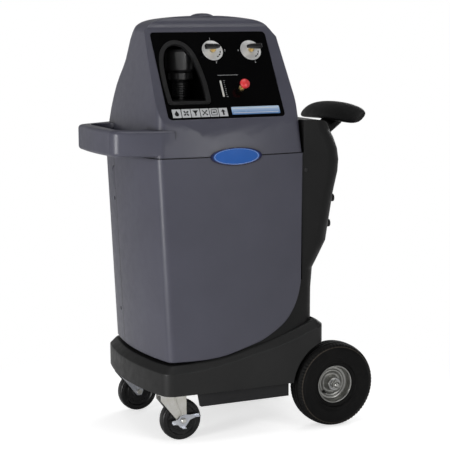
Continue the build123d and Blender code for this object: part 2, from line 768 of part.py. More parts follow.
def niche_liner():
    front = -panel_sink + panel_t
    body = niche_box(niche_wall) & behind_panel(-panel_sink)
    body -= niche_box(0) & behind_panel(-panel_sink - 3)
    body += on_panel(0, 0) * (Pos(0, 0, -panel_sink - 1) * extrude(niche_face(4.4), panel_t + 2))
    body += on_panel(0, 0) * (Pos(0, 0, front) * extrude(niche_face(0), 4.5))
    body -= on_panel(0, 0) * (Pos(0, 0, -panel_sink - 6) * extrude(niche_face(niche_rim), 30))
    return keep_largest(body)


def dial(at):
    plate = extrude(Circle(dial_r), dial_t) - Pos(0, 0, -1) * extrude(Circle(stem_hole), 10)
    return on_panel(*at, panel_t - panel_sink) * plate


def valve_body(at, size, reach):
    block = Pos(0, 0, -panel_sink - reach) * extrude(RectangleRounded(size, size, 5), reach)
    ports = Pos(0, 0, -panel_sink - reach / 2) * (Rot(90, 0, 0) * Cylinder(8, size + 26))
    bore = Pos(0, 0, -panel_sink - reach + 14) * extrude(Circle(stem_r + run_gap), reach)
    return on_panel(*at) * (block + ports - bore)


def valve_stem(at, reach, lift):
    start = -panel_sink - reach + 14.2
    shaft = Pos(0, 0, start) * extrude(Circle(stem_r), lift - start)
    collar = Pos(0, 0, dial_t + 0.6) * extrude(Circle(stem_r + 3), 6)
    return on_panel(*at) * (shaft + collar)


def lever(at, tip, tail):
    # flat pointer lever, wide at one end
    face = make_face(Polyline((-tail, -3.5), (-tail * 0.4, -6), (tip - 3, -7.5), (tip, -5), (tip, 5),
                              (tip - 3, 7.5), (-tail * 0.4, 6), (-tail, 3.5), close=True))
    body = Pos(0, 0, lever_lift) * extrude(face, 10)
    return body


def sight_strip():
    # clear bar in the slot, with a flange behind the panel
    bar = extrude(RectangleRounded(strip_wide - 0.6, strip_long - 0.6, 2.2), panel_t + 3.4)
    flange = extrude(RectangleRounded(strip_wide + 6, strip_long + 8, 2.2), 3)
    return on_panel(*strip_at, -panel_sink - 3) * (bar + flange)


def symbol_plates():
    plates = []
    for i in range(6):
        spot = on_panel(symbol_at[0] + symbol_step * i, symbol_at[1], -panel_sink + panel_t)
        plate = spot * extrude(RectangleRounded(symbol_size, symbol_size, 1), 0.5)
        plates += plate.solids()
    return Compound(plates)


def knob():
    r = knob_r
    body = turned_up([(0, 0), (0, r - 8), (3, r - 3.5), (8, r - 0.5), (13, r - 2), (16, r - 6),
                      (18, r - 12), (18, 0)])
    return on_panel(*knob_at, knob_lift) * body


def knob_stem():
    start = -panel_sink - 31
    shaft = Pos(0, 0, start) * extrude(Circle(knob_stem_r), knob_lift - start)
    nut = Pos(0, 0, panel_t - panel_sink + 0.2) * extrude(RegularPolygon(knob_stem_r * 2, 6), 6)
    return on_panel(*knob_at) * (shaft + nut)


def filter_parts():
    floor = niche_floor()
    spot = Pos(filter_x, filter_y, 0)
    foot = spot * turned_up([(floor, 0), (floor, 17), (floor + 7, 17), (floor + 7, 0)])
    z = floor + 7
    ring = [(z, 0), (z, 20)]
    for k in range(6):
        ring += [(z + 2 + 7 * k, 25), (z + 5.5 + 7 * k, 25), (z + 7 + 7 * k, 22.5)]
    top = z + 50
    bowl = spot * turned_up(ring + [(top, 26), (top, 0)])
    collar_top = top + 24
    collar = turned_up([(top, 0), (top, 33), (top + 3, 37), (collar_top - 3, 37), (collar_top, 34),
                        (collar_top, 0)])
    for k in range(8):
        collar -= Rot(0, 0, 45 * k + 10) * box_at(35, 45, -4, 4, top + 4, collar_top - 4)
    h0 = collar_top
    h1 = floor + 150
    head = turned_up([(h0, 0), (h0, filter_r - 10), (h0 + 5, filter_r - 2), (h0 + 10, filter_r),
                      (h1 - 10, filter_r), (h1 - 3, filter_r - 4), (h1, filter_r - 10), (h1, 0)])
    notch = extrude(Plane(origin=(0, -filter_r - 1, h1 - 8), x_dir=(1, 0, 0), z_dir=(0, -1, 0))
                    * make_face(Polyline((-13, 9), (13, 9), (0, -8), close=True)), -9)
    head = head - notch
    return {"filter_foot": foot, "filter_bowl": bowl, "filter_collar": spot * collar,
            "filter_head": spot * head}


def niche_floor():
    plane = panel_plane()
    low = niche_out[0][1] + niche_rim * 0.65
    return (plane.origin + plane.y_dir * low).Z


def filler_cap():
    body = turned_up([(cap_seat, 0), (cap_seat, cap_r), (cap_seat + 4, cap_r),
                      (cap_seat + 7, cap_r - 3), (cap_seat + 10, cap_r - 10),
                      (cap_seat + 12.5, cap_r - 20), (cap_seat + 13.5, 0)])
    plug = turned_up([(cap_seat - 9, 0), (cap_seat - 9, neck_r - 5), (cap_seat, neck_r - 5),
                      (cap_seat, 0)])
    for k in range(10):
        body -= Rot(0, 0, 36 * k) * rod((cap_r + 3.5, 0, cap_seat - 1),
                                        (cap_r + 3.5, 0, cap_seat + 8), 5)
    return Pos(cap_x, cap_y, 0) * (body + plug)


def filler_neck():
    tube = rod((cap_x, cap_y, tank_top), (cap_x, cap_y, cap_seat - 0.3), neck_r)
    return tube - rod((cap_x, cap_y, tank_top - 5), (cap_x, cap_y, over), neck_r - neck_wall)


def solvent_tank():
    z0, z1, t = tank_low, tank_top, tank_wall
    outer = [(z0, 0), (z0, tank_r - 12), (z0 + 22, tank_r - 12), (z0 + 22, tank_r - 6),
             (z0 + 34, tank_r), (z1 - 50, tank_r), (z1 - 26, tank_r - 12), (z1 - 10, tank_r - 40),
             (z1, neck_r + 18), (z1, 0)]
    inner = [(z0 + 22 + t, 0), (z0 + 22 + t, tank_r - 8), (z0 + 35, tank_r - t), (z1 - 51, tank_r - t),
             (z1 - 27, tank_r - 13), (z1 - 12, tank_r - 42), (z1 - t, neck_r + 16), (z1 - t, 0)]
    mouth = rod((0, 0, z1 - 20), (0, 0, z1 + 5), neck_r - neck_wall)
    return Pos(cap_x, cap_y, 0) * (turned_up(outer) - turned_up(inner) - mouth)


def tank_straps():
    # bands round the tank, each with an arm to its rail
    straps = []
    for z in strap_z:
        ring = Cylinder(tank_r + 2.3, strap_w) - Cylinder(tank_r + 0.3, strap_w + 2)
        arm = box_at(cap_x - 12, cap_x + 12, cap_y + tank_r + 2, upright_y - upright_w / 2,
                     z - strap_w / 2, z + strap_w / 2)
        straps += (Pos(cap_x, cap_y, z) * ring + arm).solids()
    return Compound(straps)


def pump():
    x, y, z = pump_x, pump_y, pump_z
    motor = rod((x, y - 65, z), (x, y + 65, z), 46)
    head = rod((x, y - 17, z), (x, y + 17, z), 56)
    foot = box_at(x - 32, x + 32, y - 55, y + 55, tank_low, z - 38)
    terminal = box_at(x - 18, x + 18, y - 25, y + 25, z + 40, pump_top())
    return motor + head + foot + terminal


def pump_top():
    return pump_z + 72


def post_arm(reach, z):
    # arm from a unit beside a post to the post's inner face
    x = upright_x[1] - upright_w / 2
    return box_at(x + 0.5, x + 10.5, reach, upright_y - upright_w / 2, z, z + 20)


def regulator():
    body = turned_up([(0, 0), (0, 22), (20, 26), (80, 26), (86, 20), (108, 20), (116, 15), (116, 0)])
    return Pos(pump_x, unit_y, unit_z) * body + post_arm(unit_y + 14, unit_z + 40)


def inner_filter():
    body = turned_up([(0, 0), (0, 20), (15, 34), (130, 34), (132, 40), (152, 40), (156, 30), (156, 0)])
    arm = mirror(post_arm(unit_y + 22, unit_z + 60), Plane.XZ)
    return Pos(pump_x, -unit_y, unit_z) * body + arm


def port_tip(z):
    return cover_x(z) + pad_out + nut_t + port_len


def inlet_tip():
    return cover_x(inlet_z) + pad_out + nut_t + inlet_len


def stub(z, y, radius, tip):
    face = cover_x(z) + pad_out
    body = rod((face - 30, y, z), (tip, y, z), radius)
    return body + extrude(Plane(origin=(face, y, z), z_dir=(1, 0, 0)) * RegularPolygon(radius + 5, 6),
                          nut_t)


def hose_ports():
    return Compound([s for z in port_z for s in stub(z, port_y, port_r, port_tip(z)).solids()])


def air_inlet():
    return stub(inlet_z, inlet_y, inlet_r, inlet_tip())


def seam_screws():
    # undersides of the screw heads, sunk into the end wall
    return [(end_wall_x(y, z) + screw_sunk, y, z) for y, z in seam_screw_at]


def cabinet_screws():
    out = []
    for x, y, z in seam_screws():
        screw = rod((x, y, z), (x + 4, y, z), screw_head_r) + rod((x + 4, y, z), (x + 16, y, z), screw_r)
        out += screw.solids()
    return Compound(out)


def cover_screws():
    x, z = cover_screw
    y = cab_half - cover_inset
    head = rod((x, y - 2.5, z), (x, y - 0.5, z), screw_head_r + 0.5)
    return both(head + rod((x, y - 14, z), (x, y - 2.5, z), screw_r))


def inner_pipes():
    up = panel_plane().y_dir
    runs = []
    for at, foot, high in ((select_at, (pump_x - 10, pump_y - 15, pump_top()), seam_z - 86),
                           (filter_at, (pump_x, -unit_y, unit_z + 156), seam_z - 46)):
        end = (on_panel(at[0], at[1] - 33, -panel_sink - 24)).position
        before = end - up * 70
        runs.append(pipe([foot, (foot[0], foot[1], high), tuple(before), tuple(end)], pipe_r, 14))
    inlet = (pump_x + 8, pump_y + 16)
    outlet = (cap_x + 31, cap_y)
    runs.append(pipe([(*outlet, tank_top), (*outlet, tank_top + 50), (*inlet, tank_top + 50),
                      (*inlet, pump_top())], pipe_r, 14))
    return Compound([s for r in runs for s in r.solids()])


def cover_x(z):
    for (x0, z0), (x1, z1) in zip(cover_line, cover_line[1:]):
        if z0 <= z <= z1:
            return x0 + (x1 - x0) * (z - z0) / (z1 - z0)
    raise ValueError(z)


def cover_section(z, right, inset):
    start = cab_right - 1
    half = cab_half - cover_inset - inset
    right = right - inset
    face = make_face(Polyline((start, -half), (right, -half), (right, half), (start, half), close=True))
    corners = [v for v in face.vertices() if v.X > start + 1]
    return Pos(0, 0, z) * fillet(corners, min(60, right + inset - start - 3) - inset)


def cover_tail(inset):
    # stacked sections follow the back; the side profile shapes the top
    body = loft([cover_section(z, x, inset) for x, z in cover_line], ruled=True)
    top = [(x - inset, seam_z + rise - inset) for x, rise in cover_top]
    low = cab_low - 32
    face = curve_face(top, [(400, seam_z - 46), (400, low), (top[0][0], low)])
    return body & prism_y(face, -wide, wide)


def cover_wings():
    body = cabinet_solid(-cover_inset, cab_low, seam_z)
    body -= cabinet_solid(-cover_inset - cover_wall, cab_low - 1, seam_z + 1)
    body = body & box_at(-60, cab_right, -wide, wide, cab_low - 32, seam_z - 2)
    return body - box_at(-100, cab_right + 20, -(cab_half - 12), cab_half - 12, 0, over)


def rear_cover():
    inner = cab_half - cover_inset - cover_wall
    shell = cover_tail(0) - cover_tail(cover_wall)
    shell -= box_at(cab_right - 10, cab_right + 1, -inner, inner, cab_low - 32, seam_z - 2)
    shell += cover_wings()
    # clear of the hood above and of the cabinet's sweeping edge
    shell -= box_at(0, cover_left, -wide, wide, seam_z - 2, over)
    shell += cover_tail(0) & box_at(cover_left, cover_left + cover_wall, -wide, wide, seam_z - 2, over)
    shell -= box_at(0, cab_right + cover_gap, -wide, wide, sweep_line[-1][1], over)
    sweep = [(x + cover_gap, z - cover_gap) for x, z in sweep_line]
    edge, high = cab_right + cover_gap, seam_z + 54
    shell -= prism_y(curve_face(sweep, [(edge, sweep[-1][1] + 1), (edge, high), (-341, high)]),
                     -wide, wide)
    # stands on the base's upper edge
    low = [(x, z + base_bevel + 0.5) for x, z in ridge_line]
    shell -= prism_y(curve_face(low, [(low[-1][0], 0), (low[0][0], 0)]), -wide, wide)
    shell -= stem_solid(0.8)
    spots = [(z, port_y, port_r) for z in port_z] + [(inlet_z, inlet_y, inlet_r)]
    for z, y, radius in spots:
        shell += rod((cover_x(z) - 4, y, z), (cover_x(z) + pad_out, y, z), radius + 6)
        shell -= rod((cover_x(z) - 40, y, z), (cover_x(z) + 40, y, z), radius + 0.4)
    x, z = cover_screw
    y = cab_half - cover_inset
    shell -= both(rod((x, y - 2.5, z), (x, y + 2, z), screw_head_r + 0.9))
    shell -= both(rod((x, y - 20, z), (x, y + 2, z), screw_r + 0.3))
    return keep_largest(shell)


def stem_section(x, low, top, half, roof, grow):
    # cross-section at x: flat-topped at the root, roof-shaped with a centre ridge further out
    side = top + grow - (top - low) * roof
    points = [(half - 6, low), (half, low + 6), (half - 8 * (1 - roof), side), (10, top), (-10, top),
              (-half + 8 * (1 - roof), side), (-half, low + 6), (-half + 6, low)]
    moved = [(y + math.copysign(grow, y), z + (grow if z > low + 7 else -grow)) for y, z in points]
    return make_face(Polyline(*[(x, y, z) for y, z in moved], close=True))


def stem_solid(grow):
    sections = []
    for i, (x, low, top, half, roof) in enumerate(stem_rows):
        start = x - grow if i == 0 else x
        sections.append(stem_section(start, seam_z + low, seam_z + top, half, roof, grow))
    return loft(sections, ruled=True)


def grip_section(y):
    # chord and thickness shrink towards the tips; the bar arches in the middle
    k = abs(y) / grip_half
    half_chord = 40 - 11 * k * k - 9 * k ** 12
    half_thick = 17 - 6 * k * k - 4 * k ** 12
    tilt = 35 + 6 * k
    centre = (385 + 5 * k * k, y, grip_z - 12 * k * k)
    plane = Plane(origin=centre, x_dir=(1, 0, 0), z_dir=(0, -1, 0))
    return plane * (Rot(0, 0, tilt) * Ellipse(half_chord, half_thick))


def handle():
    shares = (1, 0.95, 0.8, 0.4)
    ys = [-k * grip_half for k in shares] + [0] + [k * grip_half for k in reversed(shares)]
    bar = loft([grip_section(y) for y in ys])
    return bar + stem_solid(0)


def side_skin(grow):
    # solid under the bowed control side, moved outwards by grow
    face = outline(seam_z - 60, cab_left, cab_right, cab_half + grow, cab_bow, cab_side_bow,
                   cab_corner, cab_corner)
    return extrude(face, 120)


def badge_plate():
    front = Plane(origin=(badge_x, 0, seam_z - 1), x_dir=(1, 0, 0), z_dir=(0, -1, 0))
    face = front * Ellipse(badge_long, badge_high)
    return extrude(face, cab_half + 50) & (side_skin(badge_t + 0.4) - side_skin(0.4))


def build():
    out = {}
    out["base_shell"] = base_shell()
    out["chassis"] = chassis()
    out["side_rails"] = side_rails()
    out["axle_brackets"] = axle_brackets()
    out["axle"] = axle()
    out["axle_nuts"] = axle_nuts()
    for side, word in ((-1, "near"), (1, "far")):
        for name, shape in rear_wheel(side).items():
            out[f"{name}_{word}"] = shape
        for name, shape in caster(side).items():
            out[f"{name}_{word}"] = shape
    out["caster_plates"] = caster_plates()
    out["front_shell"], out["back_shell"] = split_cabinet()
    out["upright_frame"] = upright_frame()
    out["hood"] = hood()
    out["rear_cover"] = rear_cover()
    out["handle"] = handle()
    out["control_panel"] = control_panel()
    out["niche_liner"] = niche_liner()
    out["dial_plates"] = Compound([*dial(select_at).solids(), *dial(filter_at).solids()])
    out["selection_valve"] = valve_body(select_at, 40, 48)
    out["filter_valve"] = valve_body(filter_at, 40, 48)
    out["selection_stem"] = valve_stem(select_at, 48, lever_lift)
    out["filter_stem"] = valve_stem(filter_at, 48, lever_lift)
    out["selection_lever"] = on_panel(*select_at) * (Rot(0, 0, 180) * lever(select_at, 33, 14))
    out["filter_lever"] = on_panel(*filter_at) * lever(filter_at, 26, 21)
    out["agitation_valve"] = valve_body(knob_at, 30, 45)
    out["agitation_stem"] = knob_stem()
    out["agitation_knob"] = knob()
    out["sight_strip"] = sight_strip()
    out["symbol_plates"] = symbol_plates()
    out.update(filter_parts())
    out["filler_cap"] = filler_cap()
    out["filler_neck"] = filler_neck()
    out["solvent_tank"] = solvent_tank()
    out["tank_straps"] = tank_straps()
    out["pump"] = pump()
    out["regulator"] = regulator()
    out["inner_filter"] = inner_filter()
    out["badge_plate"] = badge_plate()
    out["hose_stubs"] = Compound([*hose_ports().solids(), *air_inlet().solids()])
    out["screws"] = Compound([*cabinet_screws().solids(), *cover_screws().solids()])
    out["inner_pipes"] = inner_pipes()
    return out


parts = build()
for name, shape in parts.items():
    export_step(shape, f"parts/{name}.step")
    print(name, len(shape.solids()), round(shape.volume))
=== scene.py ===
import bpy
import bmesh
import json
import math
from mathutils import Matrix, Vector


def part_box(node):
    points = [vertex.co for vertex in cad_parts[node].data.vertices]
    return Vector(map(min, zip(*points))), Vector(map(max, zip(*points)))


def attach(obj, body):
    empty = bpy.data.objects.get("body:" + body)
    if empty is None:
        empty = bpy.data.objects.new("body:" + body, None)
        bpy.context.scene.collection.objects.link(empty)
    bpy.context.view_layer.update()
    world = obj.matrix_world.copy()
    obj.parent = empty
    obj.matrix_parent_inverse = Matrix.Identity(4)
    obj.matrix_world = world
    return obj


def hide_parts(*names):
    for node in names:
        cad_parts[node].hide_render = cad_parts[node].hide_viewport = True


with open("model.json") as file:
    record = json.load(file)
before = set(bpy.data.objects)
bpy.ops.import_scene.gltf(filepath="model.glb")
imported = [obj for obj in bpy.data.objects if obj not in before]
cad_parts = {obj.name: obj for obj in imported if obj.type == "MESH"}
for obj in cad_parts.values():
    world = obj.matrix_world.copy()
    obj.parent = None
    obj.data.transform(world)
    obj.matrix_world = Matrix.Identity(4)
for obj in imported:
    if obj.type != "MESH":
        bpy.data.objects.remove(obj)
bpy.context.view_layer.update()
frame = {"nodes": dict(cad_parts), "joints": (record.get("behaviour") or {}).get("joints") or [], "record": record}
nodes = frame["nodes"]
joints = {j["name"]: j for j in frame["joints"]}
bodies = frame["record"]["behaviour"]["bodies"]
bodyOf = {node: body for body, members in bodies.items() for node in members}
mm = 0.001
print("frame loaded:", len(nodes), "nodes")


# Camera, light and floor

studio = {
    "cameraAt": (-1.7724, -3.9488, 1.2497),
    "yaw": -0.425,
    "pitchDown": 0.1474,
    "roll": -0.0055,
    "lens": 112.9,
    "horizonGlow": 0.42,    # what gloss sees level with the floor
    "overheadGlow": 0.085,   # what gloss sees above
    "ambient": 0.31,
    "floorColour": (0.86, 0.86, 0.86, 1),
    "floorLift": 0.62,      # camera-only glow that brings the pale floor to white
    "shadowReach": (0.45, 1.00),  # metres from the axis over which the shadow fades into white
}

lamps = [
    # name, place, aim, width, height, power
    ("sideSoftbox", (-3.4, -1.3, 0.70), (-0.1, 0, 0.5), 0.7, 1.8, 74),
    ("frontSoftbox", (1.1, -3.6, 1.9), (0, 0, 0.6), 1.4, 1.8, 19),
    ("topSoftbox", (0.0, -0.2, 3.4), (0, 0, 0.8), 2.2, 1.6, 19),
    ("stripLamp", (0.75, -2.3, 1.75), (-0.1, 0, 1.1), 0.22, 1.1, 3),
    ("backSoftbox", (2.6, 2.0, 2.0), (0.1, 0, 0.8), 1.8, 1.8, 40),
]


def makeCamera():
    yaw, pitch, roll = studio["yaw"], studio["pitchDown"], studio["roll"]
    level = Vector((-math.sin(yaw), math.cos(yaw), 0))
    forward = level * math.cos(pitch) - Vector((0, 0, math.sin(pitch)))
    right = Vector((math.cos(yaw), math.sin(yaw), 0))
    up = right.cross(forward)
    tiltedRight = right * math.cos(roll) + up * math.sin(roll)
    tiltedUp = up * math.cos(roll) - right * math.sin(roll)
    turn = Matrix((tiltedRight, tiltedUp, -forward)).transposed().to_4x4()
    data = bpy.data.cameras.new("camera")
    data.lens = studio["lens"]
    data.sensor_width = 36
    data.clip_end = 60
    camera = bpy.data.objects.new("camera", data)
    camera.matrix_world = Matrix.Translation(studio["cameraAt"]) @ turn
    bpy.context.scene.collection.objects.link(camera)
    bpy.context.scene.camera = camera


def makeLamps():
    for name, place, aim, width, height, power in lamps:
        data = bpy.data.lights.new(name, "AREA")
        data.shape = "RECTANGLE"
        data.size = width
        data.size_y = height
        data.energy = power
        lamp = bpy.data.objects.new(name, data)
        lamp.location = place
        lamp.rotation_mode = "QUATERNION"
        lamp.rotation_quaternion = (Vector(aim) - Vector(place)).to_track_quat("-Z", "Y")
        bpy.context.scene.collection.objects.link(lamp)


def makeWorld():
    world = bpy.data.worlds.new("studioWorld")
    world.use_nodes = True
    bpy.context.scene.world = world
    tree = world.node_tree
    tree.nodes.clear()
    link = tree.links.new
    out = tree.nodes.new("ShaderNodeOutputWorld")
    seen = tree.nodes.new("ShaderNodeBackground")
    lit = tree.nodes.new("ShaderNodeBackground")
    lit.inputs["Strength"].default_value = studio["ambient"]
    seen.inputs["Strength"].default_value = 1.0
    for background in (seen, lit):
        background.inputs["Color"].default_value = (1, 1, 1, 1)
    path = tree.nodes.new("ShaderNodeLightPath")
    place = tree.nodes.new("ShaderNodeTexCoord")
    split = tree.nodes.new("ShaderNodeSeparateXYZ")
    link(place.outputs["Generated"], split.inputs[0])
    climb = tree.nodes.new("ShaderNodeMapRange")
    climb.inputs["From Min"].default_value = 0.05
    climb.inputs["From Max"].default_value = 0.5
    climb.inputs["To Min"].default_value = studio["horizonGlow"]
    climb.inputs["To Max"].default_value = studio["overheadGlow"]
    link(split.outputs["Z"], climb.inputs["Value"])
    gloss = tree.nodes.new("ShaderNodeBackground")
    gloss.inputs["Color"].default_value = (1, 1, 1, 1)
    link(climb.outputs[0], gloss.inputs["Strength"])
    notGloss = tree.nodes.new("ShaderNodeMixShader")
    link(path.outputs["Is Glossy Ray"], notGloss.inputs[0])
    link(lit.outputs[0], notGloss.inputs[1])
    link(gloss.outputs[0], notGloss.inputs[2])
    straight = tree.nodes.new("ShaderNodeMath")
    straight.operation = "MAXIMUM"
    link(path.outputs["Is Camera Ray"], straight.inputs[0])
    link(path.outputs["Is Transmission Ray"], straight.inputs[1])
    both = tree.nodes.new("ShaderNodeMixShader")
    link(straight.outputs[0], both.inputs[0])
    link(notGloss.outputs[0], both.inputs[1])
    link(seen.outputs[0], both.inputs[2])
    link(both.outputs[0], out.inputs[0])


def makeFloor():
    # pale floor that keeps the shadow near the object and turns plain white further out
    mesh = bpy.data.meshes.new("floor")
    half = 14.0
    corners = [(-half, -half, 0), (half, -half, 0), (half, half, 0), (-half, half, 0)]
    mesh.from_pydata(corners, [], [(0, 1, 2, 3)])
    floor = bpy.data.objects.new("floor", mesh)
    bpy.context.scene.collection.objects.link(floor)
    material = bpy.data.materials.new("paleFloor")
    material.use_nodes = True
    tree = material.node_tree
    tree.nodes.clear()
    link = tree.links.new
    out = tree.nodes.new("ShaderNodeOutputMaterial")
    matt = tree.nodes.new("ShaderNodeBsdfDiffuse")
    matt.inputs["Color"].default_value = studio["floorColour"]
    glow = tree.nodes.new("ShaderNodeEmission")
    path = tree.nodes.new("ShaderNodeLightPath")
    amount = tree.nodes.new("ShaderNodeMath")
    amount.operation = "MULTIPLY"
    amount.inputs[1].default_value = studio["floorLift"]
    link(path.outputs["Is Camera Ray"], amount.inputs[0])
    link(amount.outputs[0], glow.inputs["Strength"])
    near = tree.nodes.new("ShaderNodeAddShader")
    link(matt.outputs[0], near.inputs[0])
    link(glow.outputs[0], near.inputs[1])
    place = tree.nodes.new("ShaderNodeTexCoord")
    reach = tree.nodes.new("ShaderNodeVectorMath")
    reach.operation = "LENGTH"
    link(place.outputs["Object"], reach.inputs[0])
    fade = tree.nodes.new("ShaderNodeMapRange")
    fade.interpolation_type = "SMOOTHSTEP"
    fade.inputs["From Min"].default_value = studio["shadowReach"][0]
    fade.inputs["From Max"].default_value = studio["shadowReach"][1]
    link(reach.outputs["Value"], fade.inputs["Value"])
    onlySeen = tree.nodes.new("ShaderNodeMath")
    onlySeen.operation = "MULTIPLY"
    link(fade.outputs[0], onlySeen.inputs[0])
    link(path.outputs["Is Camera Ray"], onlySeen.inputs[1])
    white = tree.nodes.new("ShaderNodeEmission")
    white.inputs["Strength"].default_value = 1.0
    mix = tree.nodes.new("ShaderNodeMixShader")
    link(onlySeen.outputs[0], mix.inputs[0])
    link(near.outputs[0], mix.inputs[1])
    link(white.outputs[0], mix.inputs[2])
    link(mix.outputs[0], out.inputs[0])
    mesh.materials.append(material)


makeCamera()
makeLamps()
makeWorld()
makeFloor()
bpy.context.scene.view_settings.view_transform = "Standard"
print("studio ready")


def screwBoxes():
    # low and high corner of every screw, from the solids of the node itself
    solid = bmesh.new()
    solid.from_mesh(nodes["screws"].data)
    bmesh.ops.remove_doubles(solid, verts=solid.verts, dist=0.01 * mm)
    boxes, seen = [], set()
    for start in solid.verts:
        if start in seen:
            continue
        stack, group = [start], []
        seen.add(start)
        while stack:
            vertex = stack.pop()
            group.append(vertex.co.copy())
            for edge in vertex.link_edges:
                other = edge.other_vert(vertex)
                if other not in seen:
                    seen.add(other)
                    stack.append(other)
        boxes.append((Vector(map(min, *group)), Vector(map(max, *group))))
    solid.free()
    return boxes


screwPlaces = screwBoxes()
print("screws found:", len(screwPlaces))


# Materials

looks = {
    "greyShell": {"colour": (0.0715, 0.0717, 0.0965), "drift": 0.07, "roughness": 0.35, "spread": 0.05,
                  "grain": 900, "height": 0.04, "specular": 0.46, "edge": 0.10, "soften": 5.0},
    "blackShell": {"colour": (0.0150, 0.0150, 0.0150), "drift": 0.14, "roughness": 0.44, "spread": 0.08,
                   "grain": 1000, "height": 0.05, "specular": 0.30, "edge": 0.22},
    "coverPlastic": {"colour": (0.0088, 0.0088, 0.0088), "drift": 0.14, "roughness": 0.46, "spread": 0.08,
                     "grain": 1000, "height": 0.05, "specular": 0.22, "edge": 0.22},
    "panelGloss": {"colour": (0.0016, 0.0016, 0.0018), "drift": 0.10, "roughness": 0.12, "spread": 0.04,
                   "grain": 300, "height": 0.004, "specular": 0.12, "edge": 0.0},
    "bezelPlastic": {"colour": (0.0095, 0.0095, 0.0100), "drift": 0.12, "roughness": 0.38, "spread": 0.08,
                     "grain": 1200, "height": 0.03, "specular": 0.34, "edge": 0.3},
    "filterPlastic": {"colour": (0.0120, 0.0120, 0.0130), "drift": 0.15, "roughness": 0.42, "spread": 0.05,
                      "grain": 500, "height": 0.008, "specular": 0.8, "edge": 0.2, "coat": 1.0},
    "leverPlastic": {"colour": (0.0090, 0.0090, 0.0095), "drift": 0.1, "roughness": 0.32, "spread": 0.1,
                     "grain": 1400, "height": 0.02, "specular": 0.45, "edge": 0.3},
    "knobPlastic": {"colour": (0.74, 0.045, 0.050), "drift": 0.08, "roughness": 0.28, "spread": 0.06,
                    "grain": 700, "height": 0.01, "specular": 0.5, "edge": 0.05},
    "badgeBlue": {"colour": (0.020, 0.110, 0.42), "drift": 0.08, "roughness": 0.20, "spread": 0.05,
                  "grain": 500, "height": 0.005, "specular": 0.45, "edge": 0.0},
    "badgeRim": {"colour": (0.010, 0.014, 0.060), "drift": 0.08, "roughness": 0.25, "spread": 0.05,
                 "grain": 500, "height": 0.005, "specular": 0.4, "edge": 0.0},
    "badgeLine": {"colour": (0.30, 0.42, 0.66), "drift": 0.05, "roughness": 0.25, "spread": 0.05,
                  "grain": 500, "height": 0.005, "specular": 0.4, "edge": 0.0},
    "whitePrint": {"colour": (0.70, 0.71, 0.72), "drift": 0.05, "roughness": 0.40, "spread": 0.05,
                   "grain": 800, "height": 0.01, "specular": 0.3, "edge": 0.0},
    "greyPrint": {"colour": (0.50, 0.51, 0.52), "drift": 0.06, "roughness": 0.45, "spread": 0.05,
                  "grain": 800, "height": 0.01, "specular": 0.3, "edge": 0.0},
    "blackPrint": {"colour": (0.006, 0.006, 0.006), "drift": 0.05, "roughness": 0.4, "spread": 0.05,
                   "grain": 800, "height": 0.01, "specular": 0.3, "edge": 0.0},
    "sightPlastic": {"colour": (0.62, 0.62, 0.58), "drift": 0.06, "roughness": 0.22, "spread": 0.06,
                     "grain": 600, "height": 0.01, "specular": 0.5, "edge": 0.0},
    "framePaint": {"colour": (0.014, 0.014, 0.015), "drift": 0.2, "roughness": 0.5, "spread": 0.12,
                   "grain": 500, "height": 0.08, "specular": 0.3, "edge": 0.2},
    "hoseRubber": {"colour": (0.022, 0.022, 0.024), "drift": 0.2, "roughness": 0.6, "spread": 0.1,
                   "grain": 600, "height": 0.05, "specular": 0.3, "edge": 0.0},
    "wheelRubber": {"colour": (0.0075, 0.0075, 0.0080), "drift": 0.2, "roughness": 0.34, "spread": 0.12,
                    "grain": 700, "height": 0.03, "specular": 0.42, "edge": 0.25},
    "darkScrew": {"colour": (0.012, 0.012, 0.013), "drift": 0.2, "roughness": 0.34, "spread": 0.1,
                  "grain": 900, "height": 0.02, "specular": 0.6, "edge": 0.3},
}

# mm: painted shade: the dark line in each join of the casing and in the sunk seats of its end screws
paintedJoinShade = {"seam": 0.75, "parting": 90.0, "halfLine": 1.5, "shade": 0.07, "seat": 8.0}


def startMaterial(name):
    material = bpy.data.materials.new(name)
    material.use_nodes = True
    tree = material.node_tree
    return material, tree, tree.nodes["Principled BSDF"]


def objectCoordinates(tree):
    return tree.nodes.new("ShaderNodeTexCoord").outputs["Object"]


def noise(tree, scale, detail=3.0, roughness=0.55, where=None):
    node = tree.nodes.new("ShaderNodeTexNoise")
    node.inputs["Scale"].default_value = scale
    node.inputs["Detail"].default_value = detail
    node.inputs["Roughness"].default_value = roughness
    tree.links.new(where or objectCoordinates(tree), node.inputs["Vector"])
    return node.outputs["Fac"]


def spreadTo(tree, value, low, high, start=0.3, end=0.7):
    node = tree.nodes.new("ShaderNodeMapRange")
    node.inputs["From Min"].default_value = start
    node.inputs["From Max"].default_value = end
    node.inputs["To Min"].default_value = low
    node.inputs["To Max"].default_value = high
    tree.links.new(value, node.inputs["Value"])
    return node.outputs[0]


def mixColours(tree, amount, first, second, blend="MIX"):
    node = tree.nodes.new("ShaderNodeMix")
    node.data_type = "RGBA"
    node.blend_type = blend
    tree.links.new(amount, node.inputs[0])
    for socket, value in ((node.inputs[6], first), (node.inputs[7], second)):
        if hasattr(value, "links"):
            tree.links.new(value, socket)
        else:
            socket.default_value = (*value, 1)
    return node.outputs[2]


def calculate(tree, operation, first, second=0.0, third=None):
    node = tree.nodes.new("ShaderNodeMath")
    node.operation = operation
    for socket, value in zip(node.inputs, (first, second, third)):
        if value is None:
            continue
        if hasattr(value, "links"):
            tree.links.new(value, socket)
        else:
            socket.default_value = value
    return node.outputs[0]


def roundedNormal(tree, radius):
    node = tree.nodes.new("ShaderNodeBevel")
    node.samples = 4
    node.inputs["Radius"].default_value = radius
    return node.outputs[0]


